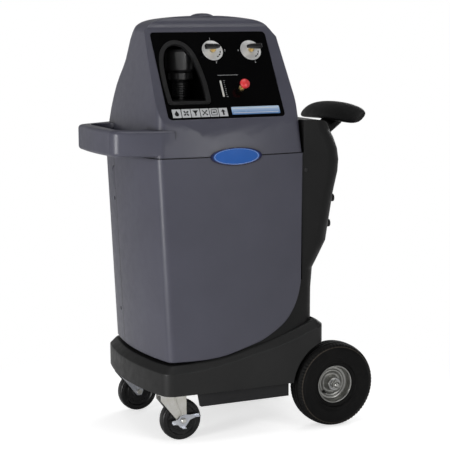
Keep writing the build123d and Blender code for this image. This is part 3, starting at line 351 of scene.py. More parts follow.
def edgeAmount(tree, rounded):
    # 1 on an outer or inner edge, 0 on open surface
    dot = tree.nodes.new("ShaderNodeVectorMath")
    dot.operation = "DOT_PRODUCT"
    tree.links.new(rounded, dot.inputs[0])
    tree.links.new(tree.nodes.new("ShaderNodeNewGeometry").outputs["Normal"], dot.inputs[1])
    return spreadTo(tree, dot.outputs["Value"], 1.0, 0.0, 0.80, 0.985)


def bump(tree, height, distance, strength=1.0, under=None):
    node = tree.nodes.new("ShaderNodeBump")
    node.inputs["Distance"].default_value = distance
    node.inputs["Strength"].default_value = strength
    tree.links.new(height, node.inputs["Height"])
    if under:
        tree.links.new(under, node.inputs["Normal"])
    return node.outputs[0]


def scaled(colour, factor):
    return tuple(min(1.0, c * factor) for c in colour)


def paintedShadeInJoins(tree):
    # painted shade: 1 beside the seam under the hood, beside the parting line of the two cabinet shells and in the
    # sunk seats of the end screws
    split = tree.nodes.new("ShaderNodeSeparateXYZ")
    tree.links.new(objectCoordinates(tree), split.inputs[0])
    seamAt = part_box("hood")[0].z - paintedJoinShade["seam"] * mm
    lines = []
    for axis, place in (("Z", seamAt), ("Y", paintedJoinShade["parting"] * mm)):
        away = calculate(tree, "ABSOLUTE", calculate(tree, "SUBTRACT", split.outputs[axis], place))
        half = paintedJoinShade["halfLine"] * mm
        lines.append(spreadTo(tree, away, 1.0, 0.0, half * 0.7, half * 1.3))
    underHood = calculate(tree, "LESS_THAN", split.outputs["Z"], seamAt)
    paintedShade = calculate(tree, "MAXIMUM", lines[0], calculate(tree, "MULTIPLY", lines[1], underHood))
    for low, high in screwPlaces:
        if high.x - low.x < high.z - low.z:
            continue
        gap = tree.nodes.new("ShaderNodeVectorMath")
        gap.operation = "DISTANCE"
        tree.links.new(objectCoordinates(tree), gap.inputs[0])
        gap.inputs[1].default_value = (low.x, (low.y + high.y) / 2, (low.z + high.z) / 2)
        reach = paintedJoinShade["seat"] * mm
        # painted shadow in the sunk seat round each end screw
        seat = spreadTo(tree, gap.outputs["Value"], 1.0, 0.0, reach * 0.85, reach)
        paintedShade = calculate(tree, "MAXIMUM", paintedShade, seat)
    return paintedShade


def hollowShade(tree, reach):
    # 1 in the open, darker in grooves, screw seats and recesses
    node = tree.nodes.new("ShaderNodeAmbientOcclusion")
    node.samples = 6
    node.inputs["Distance"].default_value = reach * mm
    return spreadTo(tree, node.outputs["AO"], 0.20, 1.0, 0.45, 0.95)


def mouldedPlastic(name, look, withPaintedShade=False):
    # even base colour with a slow drift, paler edges that are a painted edge highlight with patchy wear, and a
    # fine moulded grain
    material, tree, shader = startMaterial(name)
    base = look["colour"]
    slow = noise(tree, 7.0, 4.0)
    drift = look["drift"]
    cloud = spreadTo(tree, slow, 0.0, 1.0)
    body = mixColours(tree, cloud, scaled(base, 1 - drift), scaled(base, 1 + drift))
    rounded = None
    if look["edge"]:
        rounded = roundedNormal(tree, look.get("soften", 1.2) * mm)
        # painted highlight: edges lean toward three times the base colour, broken up by noise like wear
        edgeHighlightAndWear = calculate(tree, "MULTIPLY", edgeAmount(tree, rounded), look["edge"])
        edgeHighlightAndWear = calculate(tree, "MULTIPLY", edgeHighlightAndWear, spreadTo(tree, noise(tree, 55.0, 4.0), 0.35, 1.0))
        body = mixColours(tree, edgeHighlightAndWear, body, scaled(base, 3.0))
    # painted shade: ambient occlusion darkens grooves and recesses, and dark lines fill the joins and screw seats
    if withPaintedShade:
        body = mixColours(tree, hollowShade(tree, 18.0), scaled(base, paintedJoinShade["shade"]), body)
        body = mixColours(tree, paintedShadeInJoins(tree), body, scaled(base, paintedJoinShade["shade"]))
    tree.links.new(body, shader.inputs["Base Color"])
    patches = noise(tree, 38.0, 5.0, 0.6)
    roughness, spread = look["roughness"], look["spread"]
    rough = spreadTo(tree, patches, roughness - spread, roughness + spread)
    tree.links.new(rough, shader.inputs["Roughness"])
    shader.inputs["Specular IOR Level"].default_value = look["specular"]
    if "coat" in look:
        shader.inputs["Coat Weight"].default_value = look["coat"]
        shader.inputs["Coat Roughness"].default_value = 0.10
    grain = noise(tree, look["grain"], 2.0)
    tree.links.new(bump(tree, grain, look["height"] * mm, 0.8, rounded), shader.inputs["Normal"])
    return material


def tyreRubber():
    # black rubber, browner and duller where dust sits
    material, tree, shader = startMaterial("tyreRubber")
    dust = noise(tree, 26.0, 6.0, 0.65)
    dusty = spreadTo(tree, dust, 0.0, 1.0, 0.42, 0.72)
    body = mixColours(tree, dusty, (0.0036, 0.0036, 0.0037), (0.0075, 0.0072, 0.0068))
    tree.links.new(body, shader.inputs["Base Color"])
    tree.links.new(spreadTo(tree, dust, 0.48, 0.66), shader.inputs["Roughness"])
    shader.inputs["Specular IOR Level"].default_value = 0.13
    tree.links.new(bump(tree, noise(tree, 700.0, 3.0), 0.08 * mm), shader.inputs["Normal"])
    return material


def mouldFlash():
    # brownish dusty line left by the mould on the shoulder of the tyre
    material, tree, shader = startMaterial("mouldFlash")
    dust = noise(tree, 90.0, 4.0, 0.65)
    body = mixColours(tree, spreadTo(tree, dust, 0.0, 1.0), (0.018, 0.015, 0.012), (0.050, 0.041, 0.032))
    tree.links.new(body, shader.inputs["Base Color"])
    tree.links.new(spreadTo(tree, dust, 0.55, 0.75), shader.inputs["Roughness"])
    shader.inputs["Specular IOR Level"].default_value = 0.25
    return material


def plainSteel(name, colour, rough, streak, metallic=1.0):
    # turned or pressed steel: fine streaks and cloudy polish
    material, tree, shader = startMaterial(name)
    shader.inputs["Metallic"].default_value = metallic
    cloud = noise(tree, 30.0, 5.0, 0.6)
    body = mixColours(tree, spreadTo(tree, cloud, 0.0, 1.0), scaled(colour, 0.78), colour)
    tree.links.new(body, shader.inputs["Base Color"])
    tree.links.new(spreadTo(tree, cloud, rough - 0.07, rough + 0.10), shader.inputs["Roughness"])
    stretch = tree.nodes.new("ShaderNodeMapping")
    stretch.inputs["Scale"].default_value = (1.0, 14.0, 1.0)
    tree.links.new(objectCoordinates(tree), stretch.inputs["Vector"])
    lines = noise(tree, 160.0, 3.0, 0.6, stretch.outputs[0])
    rounded = roundedNormal(tree, 0.6 * mm)
    tree.links.new(bump(tree, lines, streak * mm, 0.6, rounded), shader.inputs["Normal"])
    return material


def zincPlate(name, first, second):
    # passivated zinc with a faint bloom and small crystals
    material, tree, shader = startMaterial(name)
    shader.inputs["Metallic"].default_value = 1.0
    bloom = noise(tree, 22.0, 4.0, 0.6)
    body = mixColours(tree, spreadTo(tree, bloom, 0.0, 1.0, 0.4, 0.66), first, second)
    tree.links.new(body, shader.inputs["Base Color"])
    cells = tree.nodes.new("ShaderNodeTexVoronoi")
    cells.inputs["Scale"].default_value = 260.0
    tree.links.new(objectCoordinates(tree), cells.inputs["Vector"])
    rough = spreadTo(tree, cells.outputs["Distance"], 0.24, 0.40, 0.0, 0.8)
    tree.links.new(rough, shader.inputs["Roughness"])
    rounded = roundedNormal(tree, 0.8 * mm)
    tree.links.new(bump(tree, noise(tree, 240.0, 3.0), 0.06 * mm, 1.0, rounded), shader.inputs["Normal"])
    return material


def brass():
    material, tree, shader = startMaterial("brass")
    shader.inputs["Metallic"].default_value = 1.0
    tarnish = noise(tree, 140.0, 4.0, 0.6)
    body = mixColours(tree, spreadTo(tree, tarnish, 0.0, 1.0), (0.98, 0.80, 0.42), (0.80, 0.58, 0.26))
    tree.links.new(body, shader.inputs["Base Color"])
    tree.links.new(spreadTo(tree, tarnish, 0.24, 0.40), shader.inputs["Roughness"])
    rounded = roundedNormal(tree, 0.6 * mm)
    tree.links.new(bump(tree, noise(tree, 900.0), 0.02 * mm, 1.0, rounded), shader.inputs["Normal"])
    return material


def castPaint():
    material, tree, shader = startMaterial("castPaint")
    patches = noise(tree, 18.0, 5.0)
    body = mixColours(tree, spreadTo(tree, patches, 0.0, 1.0), (0.17, 0.19, 0.21), (0.24, 0.26, 0.28))
    tree.links.new(body, shader.inputs["Base Color"])
    tree.links.new(spreadTo(tree, patches, 0.42, 0.6), shader.inputs["Roughness"])
    tree.links.new(bump(tree, noise(tree, 330.0, 4.0, 0.7), 0.25 * mm), shader.inputs["Normal"])
    return material


def stripeBlue(low, high):
    # mid blue at the foot of the stripe, nearly white along its middle
    material, tree, shader = startMaterial("stripeBlue")
    split = tree.nodes.new("ShaderNodeSeparateXYZ")
    tree.links.new(objectCoordinates(tree), split.inputs[0])
    height = spreadTo(tree, split.outputs["Z"], 0.0, 1.0, low, high)
    body = mixColours(tree, height, (0.10, 0.22, 0.46), (0.50, 0.64, 0.80))
    tree.links.new(body, shader.inputs["Base Color"])
    tree.links.new(spreadTo(tree, noise(tree, 60.0), 0.26, 0.36), shader.inputs["Roughness"])
    return material


materials = {name: mouldedPlastic(name, look, name == "greyShell") for name, look in looks.items()}
materials["tyreRubber"] = tyreRubber()
materials["mouldFlash"] = mouldFlash()
materials["rimSteel"] = plainSteel("rimSteel", (0.44, 0.44, 0.42), 0.34, 0.03)
materials["dialSteel"] = plainSteel("dialSteel", (0.88, 0.88, 0.87), 0.40, 0.02, 0.55)
materials["tankSteel"] = plainSteel("tankSteel", (0.55, 0.56, 0.58), 0.30, 0.03)
materials["zincYellow"] = zincPlate("zincYellow", (0.90, 0.90, 0.88), (0.76, 0.74, 0.68))
materials["zincBlue"] = zincPlate("zincBlue", (0.78, 0.80, 0.84), (0.62, 0.64, 0.70))
materials["brass"] = brass()
materials["castPaint"] = castPaint()
print("materials:", len(materials))


# Mesh helpers

def addPiece(name, mesh, material, node, replace=True, sharp=32, weigh=True):
    # a finished mesh becomes a piece that rides with the CAD node it belongs to and wears the given materials
    for one in material if isinstance(material, (list, tuple)) else [material]:
        mesh.materials.append(materials[one])
    for polygon in mesh.polygons:
        polygon.use_smooth = True
    mesh.set_sharp_from_angle(angle=math.radians(sharp))
    piece = bpy.data.objects.new(name, mesh)
    bpy.context.scene.collection.objects.link(piece)
    if weigh:
        shade = piece.modifiers.new("weighNormals", "WEIGHTED_NORMAL")
        shade.keep_sharp = True
        shade.weight = 80
    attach(piece, bodyOf[node])
    if replace:
        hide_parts(node)
    return piece


def weldedMesh(node):
    # the node's own shape with its points joined, so that shading runs across facets
    solid = bmesh.new()
    solid.from_mesh(nodes[node].data)
    bmesh.ops.remove_doubles(solid, verts=solid.verts, dist=0.01 * mm)
    bmesh.ops.dissolve_degenerate(solid, edges=solid.edges, dist=0.005 * mm)
    mesh = bpy.data.meshes.new(node + "Mesh")
    solid.to_mesh(mesh)
    solid.free()
    for extra in ("custom_normal", "sharp_edge", "sharp_face"):
        if extra in mesh.attributes:
            mesh.attributes.remove(mesh.attributes[extra])
    mesh.materials.clear()
    return mesh


def lathe(name, profile, axis, centre, turns=96, sink=None, closed=True):
    # (along, radius) pairs in mm spun about the axis; sink lowers chosen rows at chosen turns
    axis = Vector(axis).normalized()
    side = axis.orthogonal().normalized()
    other = axis.cross(side)
    solid = bmesh.new()
    rings = []
    for j in range(turns):
        angle = 2 * math.pi * j / turns
        out = side * math.cos(angle) + other * math.sin(angle)
        ring = []
        for i, (along, radius) in enumerate(profile):
            lowered = radius - (sink(i, j) if sink else 0.0)
            ring.append(solid.verts.new(centre + (axis * along + out * lowered) * mm))
        rings.append(ring)
    count = len(profile)
    for j in range(turns):
        here, after = rings[j], rings[(j + 1) % turns]
        for i in range(count if closed else count - 1):
            k = (i + 1) % count
            solid.faces.new((here[i], here[k], after[k], after[i]))
    bmesh.ops.remove_doubles(solid, verts=solid.verts, dist=0.002 * mm)
    bmesh.ops.recalc_face_normals(solid, faces=solid.faces)
    mesh = bpy.data.meshes.new(name)
    solid.to_mesh(mesh)
    solid.free()
    return mesh


def slab(name, outlines, place, low, high, edge=0.0):
    # flat pieces cut to closed outlines in mm; place turns (x, s, lift) into a point in metres
    solid = bmesh.new()
    for outline in outlines:
        levels = [(0.0, low), (0.0, high - edge)]
        if edge:
            levels.append((edge, high))
        rows = []
        for inset, lift in levels:
            ring = insetOutline(outline, inset) if inset else outline
            rows.append([solid.verts.new(place(x, s, lift)) for x, s in ring])
        count = len(outline)
        for lower, upper in zip(rows, rows[1:]):
            for i in range(count):
                k = (i + 1) % count
                solid.faces.new((lower[i], lower[k], upper[k], upper[i]))
        solid.faces.new(rows[-1])
        solid.faces.new(rows[0][::-1])
    bmesh.ops.recalc_face_normals(solid, faces=solid.faces)
    bmesh.ops.triangulate(solid, faces=[f for f in solid.faces if len(f.verts) > 4])
    mesh = bpy.data.meshes.new(name)
    solid.to_mesh(mesh)
    solid.free()
    return mesh


def insetOutline(outline, inset):
    # each point moves inwards along the mean of its two sides
    moved = []
    count = len(outline)
    turn = sum(a[0] * b[1] - b[0] * a[1] for a, b in zip(outline, outline[1:] + outline[:1]))
    way = 1.0 if turn > 0 else -1.0
    for i, (x, y) in enumerate(outline):
        (ax, ay), (bx, by) = outline[i - 1], outline[(i + 1) % count]
        size = math.hypot(bx - ax, by - ay) or 1.0
        moved.append((x - way * (by - ay) / size * inset, y + way * (bx - ax) / size * inset))
    return moved


def circlePoints(x, y, radius, count=32, start=0.0, end=2 * math.pi):
    closed = abs(end - start - 2 * math.pi) < 1e-6
    steps = count if closed else count + 1
    return [(x + radius * math.cos(start + (end - start) * k / count),
             y + radius * math.sin(start + (end - start) * k / count)) for k in range(steps)]


def roundedBox(x, y, width, height, radius, count=6):
    points = []
    for cx, cy, start in ((1, 1, 0.0), (-1, 1, 0.5), (-1, -1, 1.0), (1, -1, 1.5)):
        middle = (x + cx * (width / 2 - radius), y + cy * (height / 2 - radius))
        points += circlePoints(*middle, radius, count, start * math.pi, (start + 0.5) * math.pi)
    return points


def arcBand(x, y, inner, outer, start, end, count=14):
    start, end = math.radians(start), math.radians(end)
    far = circlePoints(x, y, outer, count, start, end)
    return far + circlePoints(x, y, inner, count, start, end)[::-1]


# CAD nodes that keep their shape

wears = {
    "blackShell": ["base_shell"],
    "coverPlastic": ["rear_cover", "handle", "hose_stubs"],
    "framePaint": ["chassis", "side_rails", "axle_brackets", "upright_frame"],
    "rimSteel": ["axle", "axle_nuts"],
    "tankSteel": ["solvent_tank", "tank_straps", "filler_neck", "rim_bearings_near", "rim_bearings_far"],
    "zincYellow": ["caster_fork_near", "caster_plates", "caster_bolt_near", "caster_bolt_far",
                   "caster_bushing_near", "caster_bushing_far"],
    "zincBlue": ["caster_fork_far", "brake_lever_near", "brake_lever_far"],
    "wheelRubber": ["tyre_valve_near", "tyre_valve_far"],
    "greyShell": ["front_shell", "back_shell", "hood", "filler_cap"],
    "panelGloss": ["control_panel"],
    "bezelPlastic": ["niche_liner"],
    "filterPlastic": ["filter_head", "filter_collar", "filter_bowl", "filter_foot"],
    "brass": ["selection_stem", "filter_stem", "agitation_stem", "selection_valve", "filter_valve",
              "agitation_valve"],
    "sightPlastic": ["sight_strip"],
    "greyPrint": ["symbol_plates"],
    "castPaint": ["pump", "regulator", "inner_filter"],
    "hoseRubber": ["inner_pipes"],
}

for look, members in wears.items():
    for node in members:
        addPiece(node + "Piece", weldedMesh(node), look, node)
print("nodes smoothed:", sum(len(members) for members in wears.values()))


# Rear wheels

tyreShape = {
    "turns": 288,
    # outward distance and radius in mm, from the bead to the middle of the tread
    "side": [(21.0, 53.6), (22.8, 56.0), (24.2, 62.0), (27.0, 68.4), (31.0, 70.0), (33.2, 71.0),
             (34.0, 74.0), (36.5, 79.5), (38.6, 81.2), (39.4, 84.0), (41.2, 90.0), (42.0, 97.0),
             (41.8, 103.0), (40.9, 108.5), (40.7, 110.4), (39.4, 111.6), (38.6, 113.6), (37.0, 117.0),
             (35.2, 120.2), (34.5, 121.2), (32.4, 123.4), (28.6, 126.2), (22.6, 128.2), (21.4, 125.2),
             (17.4, 125.4), (16.2, 129.2), (10.0, 129.8), (9.0, 126.4), (4.6, 126.6), (3.6, 130.0),
             (0.0, 130.0)],
    "inner": [(14.0, 53.6), (14.0, 66.0), (26.0, 76.0), (33.0, 94.0), (29.0, 110.0), (20.0, 118.0),
              (0.0, 120.0)],
    "notchRows": (18, 19, 20, 21),  # shoulder rows that the sipes cut
    "notchEvery": 4,
    "notchDepth": 1.9,
    "flashRow": 18,                 # the mould line on the shoulder
}

rimShape = {
    "turns": 144,
    # outward distance and radius in mm: rolled edge, wall, stepped dish and hub
    "section": [(21.2, 54.2), (21.6, 57.2), (23.2, 58.0), (24.6, 57.6), (25.0, 56.4), (24.6, 55.0),
                (23.2, 54.0), (20.0, 52.9), (12.0, 52.2), (6.5, 51.4), (3.5, 50.8), (1.6, 50.0),
                (0.6, 47.0), (0.4, 44.0), (1.0, 42.6), (3.6, 41.4), (4.6, 39.4), (4.2, 37.0),
                (2.4, 34.6), (-0.6, 32.4), (-2.4, 29.6), (-2.6, 26.6), (-1.4, 24.4), (3.0, 22.2),
                (18.0, 22.0), (22.4, 21.4), (23.8, 20.0), (24.0, 17.6), (13.0, 17.6), (13.0, 14.0),
                (-25.0, 14.0), (-25.0, 17.6), (-36.0, 17.6), (-36.0, 20.6), (-34.6, 22.0),
                (-9.0, 22.0), (-6.4, 24.6), (-6.2, 32.0), (-2.0, 36.0), (0.0, 40.0), (-3.0, 44.0),
                (-3.2, 49.0), (-9.0, 51.0), (-20.0, 52.6), (-23.2, 54.0), (-24.6, 55.0), (-25.0, 56.4),
                (-24.6, 57.6), (-23.2, 58.0), (-21.6, 57.2), (-21.2, 54.2), (-13.0, 53.6),
                (-8.0, 53.2), (8.0, 53.2), (13.0, 53.6)],
}


def cutSipes(row, turn):
    half = len(tyreShape["side"])
    mirrored = 2 * half - 2 - row if row < 2 * half - 1 else -1
    if row not in tyreShape["notchRows"] and mirrored not in tyreShape["notchRows"]:
        return 0.0
    return tyreShape["notchDepth"] if turn % tyreShape["notchEvery"] == 0 else 0.0


def rearWheel(word, outward):
    spin = joints["rear_wheel_" + word + "_spin"]
    centre = Vector(spin["pos_m"])
    axis = Vector((0, outward, 0))
    side = tyreShape["side"]
    outline = side + [(-a, r) for a, r in side[-2::-1]]
    inner = tyreShape["inner"]
    outline += [(-a, r) for a, r in inner[:-1]] + inner[::-1]
    mesh = lathe("tyreMesh" + word.title(), outline, axis, centre, tyreShape["turns"], cutSipes)
    mesh.materials.append(materials["tyreRubber"])
    mesh.materials.append(materials["mouldFlash"])
    first, last = side[tyreShape["flashRow"]], side[tyreShape["flashRow"] - 1]
    for polygon in mesh.polygons:
        away = polygon.center - centre
        along = away.dot(axis) / mm
        reach = (away - axis * away.dot(axis)).length / mm
        onLine = min(first[0], last[0]) < along < max(first[0], last[0]) and last[1] < reach < first[1]
        polygon.material_index = 1 if onLine else 0
    addPiece("tyre" + word.title(), mesh, [], "tyre_" + word, sharp=40)
    rim = lathe("rimMesh" + word.title(), rimShape["section"], axis, centre, rimShape["turns"])
    addPiece("rim" + word.title(), rim, "rimSteel", "rim_" + word, sharp=50)


rearWheel("near", -1)
rearWheel("far", 1)
print("rear wheels built")


# Caster wheels

casterShape = {
    "turns": 128,
    # outward distance and radius in mm, half of the section
    "side": [(0.0, 62.5), (6.0, 62.4), (10.0, 61.9), (13.0, 60.8), (15.0, 59.2), (16.0, 57.0),
             (16.0, 54.6), (15.3, 54.2), (15.3, 53.4), (16.0, 53.0), (16.0, 47.6), (15.2, 46.6),
             (12.6, 44.0), (12.0, 42.4), (12.0, 36.0), (12.8, 35.4), (12.8, 33.6), (12.0, 33.0),
             (12.0, 21.0), (13.0, 19.0), (15.6, 16.4), (16.0, 15.6), (16.0, 9.05)],
}


def casterWheel(word):
    centre = Vector(joints["caster_wheel_" + word + "_spin"]["pos_m"])
    side = casterShape["side"]
    outline = side + [(-a, r) for a, r in side[:0:-1]]
    mesh = lathe("casterWheelMesh" + word.title(), outline, (0, 1, 0), centre, casterShape["turns"])
    addPiece("casterWheel" + word.title(), mesh, "wheelRubber", "caster_wheel_" + word, sharp=40)


casterWheel("near")
casterWheel("far")
print("caster wheels built")


# Console: everything printed or fitted on the sloped panel

panel = {
    "sunkBack": 5.0,    # back of the panel under the console plane, mm
    "sunkFront": 2.0,
    "print": 0.10,      # thickness of the printed marks
}


def panelPlace():
    # returns a function that turns (x, up the slope, lift) in mm into a point
    out = Vector(joints["selection_lever_turn"]["axis"])
    across = Vector((1, 0, 0))
    up = out.cross(across)
    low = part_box("control_panel")[0]
    foot = Vector((0, low.y + panel["sunkFront"] * out.y * mm, low.z + panel["sunkBack"] * out.z * mm))
    return lambda x, s, lift: foot + (across * x + up * s + out * lift) * mm


onPanel = panelPlace()
slopeUp = (onPanel(0, 1, 0) - onPanel(0, 0, 0)).normalized()
slopeOut = (onPanel(0, 0, 1) - onPanel(0, 0, 0)).normalized()


def panelSpot(point):
    # (x, up the slope) in mm of a point in space
    away = point - onPanel(0, 0, 0)
    return away.x / mm, away.dot(slopeUp) / mm


selectionAt = panelSpot(Vector(joints["selection_lever_turn"]["pos_m"]))
filterAt = panelSpot(Vector(joints["filter_lever_turn"]["pos_m"]))
knobAt = panelSpot(Vector(joints["agitation_knob_turn"]["pos_m"]))


def printed(name, outlines, material="whitePrint"):
    low = -panel["sunkFront"]
    mesh = slab(name + "Mesh", outlines, onPanel, low, low + panel["print"])
    return addPiece(name, mesh, material, "control_panel", replace=False, sharp=30, weigh=False)


def numeral(name, text, x, s, size, material="whitePrint"):
    # a plain number that lies on the panel
    data = bpy.data.curves.new(name + "Curve", "FONT")
    data.body = text
    data.size = size * mm
    data.align_x = "CENTER"
    data.align_y = "CENTER"
    data.extrude = panel["print"] / 2 * mm
    data.resolution_u = 3
    holder = bpy.data.objects.new(name + "Holder", data)
    mesh = bpy.data.meshes.new_from_object(holder)
    bpy.data.objects.remove(holder)
    middle = onPanel(x, s, -panel["sunkFront"] + panel["print"] / 2)
    turn = Matrix((Vector((1, 0, 0)), slopeUp, slopeOut)).transposed().to_4x4()
    mesh.transform(Matrix.Translation(middle) @ turn)
    mesh.materials.clear()
    return addPiece(name, mesh, material, "control_panel", replace=False, sharp=30, weigh=False)


dial = {"radius": 33.0, "thick": 2.0, "hole": 7.5, "marks": [(-66, -50), (-44, -28), (-22, -6)],
        "markFrom": 22.5, "markTo": 26.0}


def dialPlates():
    r, hole, thick = dial["radius"], dial["hole"], dial["thick"]
    section = [(0, hole), (0, r), (thick - 0.5, r), (thick, r - 0.5), (thick, r - 2.6),
               (thick - 0.5, r - 3.1), (thick - 0.5, hole + 4.5), (thick, hole + 4.0), (thick, hole)]
    whole = bmesh.new()
    for x, s in (selectionAt, filterAt):
        one = lathe("dialPart", section, slopeOut, onPanel(x, s, -panel["sunkFront"]), 96)
        whole.from_mesh(one)
        bpy.data.meshes.remove(one)
    mesh = bpy.data.meshes.new("dialPlatesMesh")
    whole.to_mesh(mesh)
    whole.free()
    addPiece("dialPlates", mesh, "dialSteel", "dial_plates", sharp=40)
    marks = []
    for x, s in (selectionAt, filterAt):
        marks += [arcBand(x, s, dial["markFrom"], dial["markTo"], a, b, 6) for a, b in dial["marks"]]
    face = thick - 0.5 - panel["sunkFront"]
    scale = slab("dialMarksMesh", marks, onPanel, face, face + panel["print"])
    addPiece("dialMarks", scale, "blackPrint", "dial_plates", replace=False, weigh=False)


lever = {"lift": 20.0, "thick": 10.0, "round": 1.6, "boss": 10.5}


def leverPiece(node, at, tip, tail, turnedBack):
    # a slim pointer, wide at its grip end, with a raised grip line
    side = [(-tail, 3.2), (-tail * 0.5, 5.4), (0, 6.6), (tip * 0.5, 7.0), (tip - 3.5, 7.4),
            (tip - 0.9, 6.4), (tip, 4.4)]
    outline = [(x, -s) for x, s in side] + side[::-1]
    way = -1 if turnedBack else 1
    place = lambda x, s, lift: onPanel(at[0] + way * x, at[1] + way * s, lift)
    low, high = lever["lift"], lever["lift"] + lever["thick"]
    body = slab(node + "Body", [outline], place, low, high, lever["round"])
    ridge = slab(node + "Ridge", [roundedBox(tip * 0.42, 0, tip * 0.9, 3.4, 1.6, 4)], place, high - 0.4,
                 high + 0.0, 0.2)
    whole = bmesh.new()
    for part in (body, ridge):
        whole.from_mesh(part)
        bpy.data.meshes.remove(part)
    mesh = bpy.data.meshes.new(node + "Mesh")
    whole.to_mesh(mesh)
    whole.free()
    addPiece(node + "Piece", mesh, "leverPlastic", node, sharp=40)


knob = {"flutes": 20, "depth": 0.9, "fluteRows": (3, 4), "lift": 19.0,
        "section": [(0, 0.01), (0, 8.6), (2.0, 11.6), (4.5, 14.0), (10.0, 15.2), (13.0, 14.2),
                    (15.4, 11.8), (17.0, 8.4), (17.8, 4.4), (18.0, 0.01)]}


def knobPiece():
    sink = lambda i, j: knob["depth"] if i in knob["fluteRows"] and j % 4 == 0 else 0.0
    foot = onPanel(*knobAt, knob["lift"])
    mesh = lathe("knobMesh", knob["section"], slopeOut, foot, knob["flutes"] * 4, sink)
    addPiece("agitationKnob", mesh, "knobPlastic", "agitation_knob", sharp=60)


def positionMarks():
    # a plain number at each position of the two valves
    spots = [("Top", "1", selectionAt, 90, 6.5), ("Side", "2", selectionAt, 0, 7.5),
             ("Foot", "3", selectionAt, -84, 7.0), ("Side", "1", filterAt, 180, 7.5),
             ("Foot", "2", filterAt, -80, 7.0)]
    for word, text, at, angle, gap in spots:
        turn = math.radians(angle)
        reach = dial["radius"] + gap
        side = "Selection" if at is selectionAt else "Filter"
        x, s = at[0] + math.cos(turn) * reach, at[1] + math.sin(turn) * reach
        numeral("number" + side + word, text, x, s, 9.5, "greyPrint")


strip = {"from": -26.0, "to": 26.0, "step": 6.5, "away": 9.0, "long": 3.6, "wide": 0.8, "ruleLong": 66.0}


def stripScale():
    low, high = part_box("sight_strip")
    x, s = panelSpot((low + high) / 2)
    ticks = []
    steps = int((strip["to"] - strip["from"]) / strip["step"]) + 1
    for k in range(steps):
        long = strip["long"] * (1.5 if k % 4 == 0 else 1.0)
        middle = (x + strip["away"] + long / 2, s + strip["from"] + k * strip["step"])
        ticks.append(roundedBox(*middle, long, strip["wide"], 0.35, 2))
    printed("stripTicks", ticks, "greyPrint")
    ruleX = (x + knobAt[0]) / 2 - 3
    printed("headRule", [roundedBox(ruleX, s + 44.5, strip["ruleLong"], 0.9, 0.4, 2)], "greyPrint")


glyph = {"size": 27.0, "line": 1.9}


def glyphOutlines(kind):
    # generic figures in a square of about 20 mm: drop, fan, filter mesh, crossed tools, tank and arrow
    w = glyph["line"]
    if kind == 0:
        drop = [(0, 9.5)] + circlePoints(0, -2.4, 6.4, 16, math.radians(28), math.radians(-208))
        return [drop]
    if kind == 1:
        blades = []
        for k in range(4):
            turn = math.radians(45 + 90 * k)
            c, s = math.cos(turn), math.sin(turn)
            blade = [(1.6, -1.2), (9.4, -3.4), (9.8, 1.6), (5.0, 2.8), (1.6, 1.2)]
            blades.append([(x * c - y * s, x * s + y * c) for x, y in blade])
        return blades
    if kind == 2:
        funnel = [(-9, 8.5), (9, 8.5), (2.2, -0.5), (2.2, -7.5), (-2.2, -9.5), (-2.2, -0.5)]
        return [funnel]
    if kind == 3:
        bars = []
        for sign in (1, -1):
            turn = math.radians(45 * sign)
            c, s = math.cos(turn), math.sin(turn)
            lower = 0.0 if sign > 0 else 0.02
            bar = [(-11, -w), (-6, -w * 0.7), (6, -w * 0.7), (11, -w * 1.7), (11, w * 1.7), (6, w * 0.7),
                   (-6, w * 0.7), (-11, w)]
            bars.append([(x * c - y * s + lower, x * s + y * c) for x, y in bar])
        return bars
    if kind == 4:
        rims = [roundedBox(0, y, 19, 2.4, 1, 2) for y in (8.4, -8.4)]
        walls = [roundedBox(x, 0, 2.4, 13.6, 1, 2) for x in (-8.6, 8.6)]
        return rims + walls + [roundedBox(0, 0.5, 9.5, 4.4, 1, 2)]
    return [[(0, 9.8), (7.4, 1.6), (2.6, 1.6), (2.6, -9.4), (-2.6, -9.4), (-2.6, 1.6), (-7.4, 1.6)]]


def symbolGlyphs():
    low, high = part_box("symbol_plates")
    half = glyph["size"] / 2
    first = low.x / mm + half
    last = high.x / mm - half
    middle = panelSpot((low + high) / 2)[1]
    top = -panel["sunkFront"] + 0.5
    outlines = []
    for k in range(6):
        x = first + (last - first) * k / 5
        outlines += [[(x + px, middle + py) for px, py in one] for one in glyphOutlines(k)]
    mesh = slab("symbolGlyphsMesh", outlines, onPanel, top, top + panel["print"])
    addPiece("symbolGlyphs", mesh, "blackPrint", "symbol_plates", replace=False, weigh=False)


stripe = {"from": -48.0, "to": 108.0, "low": 11.0, "high": 36.0, "thick": 0.35, "corner": 3.0, "border": 1.6}


def blueStripe():
    x, s = (stripe["from"] + stripe["to"]) / 2, (stripe["low"] + stripe["high"]) / 2
    width, height = stripe["to"] - stripe["from"], stripe["high"] - stripe["low"]
    low = -panel["sunkFront"]
    foot, head = onPanel(0, stripe["low"], 0).z, onPanel(0, stripe["high"], 0).z
    materials["stripeBlue"] = stripeBlue(foot, head)
    plate = slab("blueStripeMesh", [roundedBox(x, s, width, height, stripe["corner"])], onPanel, low,
                 low + stripe["thick"], 0.15)
    addPiece("blueStripe", plate, "stripeBlue", "control_panel", replace=False, sharp=30, weigh=False)
    inner = stripe["border"]
    line = roundedBox(x, s - height / 2 + 5.5, width - 10, 1.4, 0.6, 3)
    second = roundedBox(x, s + height / 2 - 5.5, width - 10, inner, 0.7, 3)
    top = low + stripe["thick"]
    mesh = slab("stripeLinesMesh", [line, second], onPanel, top, top + panel["print"])
    addPiece("stripeLines", mesh, "whitePrint", "control_panel", replace=False, weigh=False)


dialPlates()
leverPiece("selection_lever", selectionAt, 33.0, 14.0, True)
leverPiece("filter_lever", filterAt, 26.0, 21.0, False)
knobPiece()
positionMarks()
stripScale()
symbolGlyphs()
blueStripe()
print("console built")


# Badge

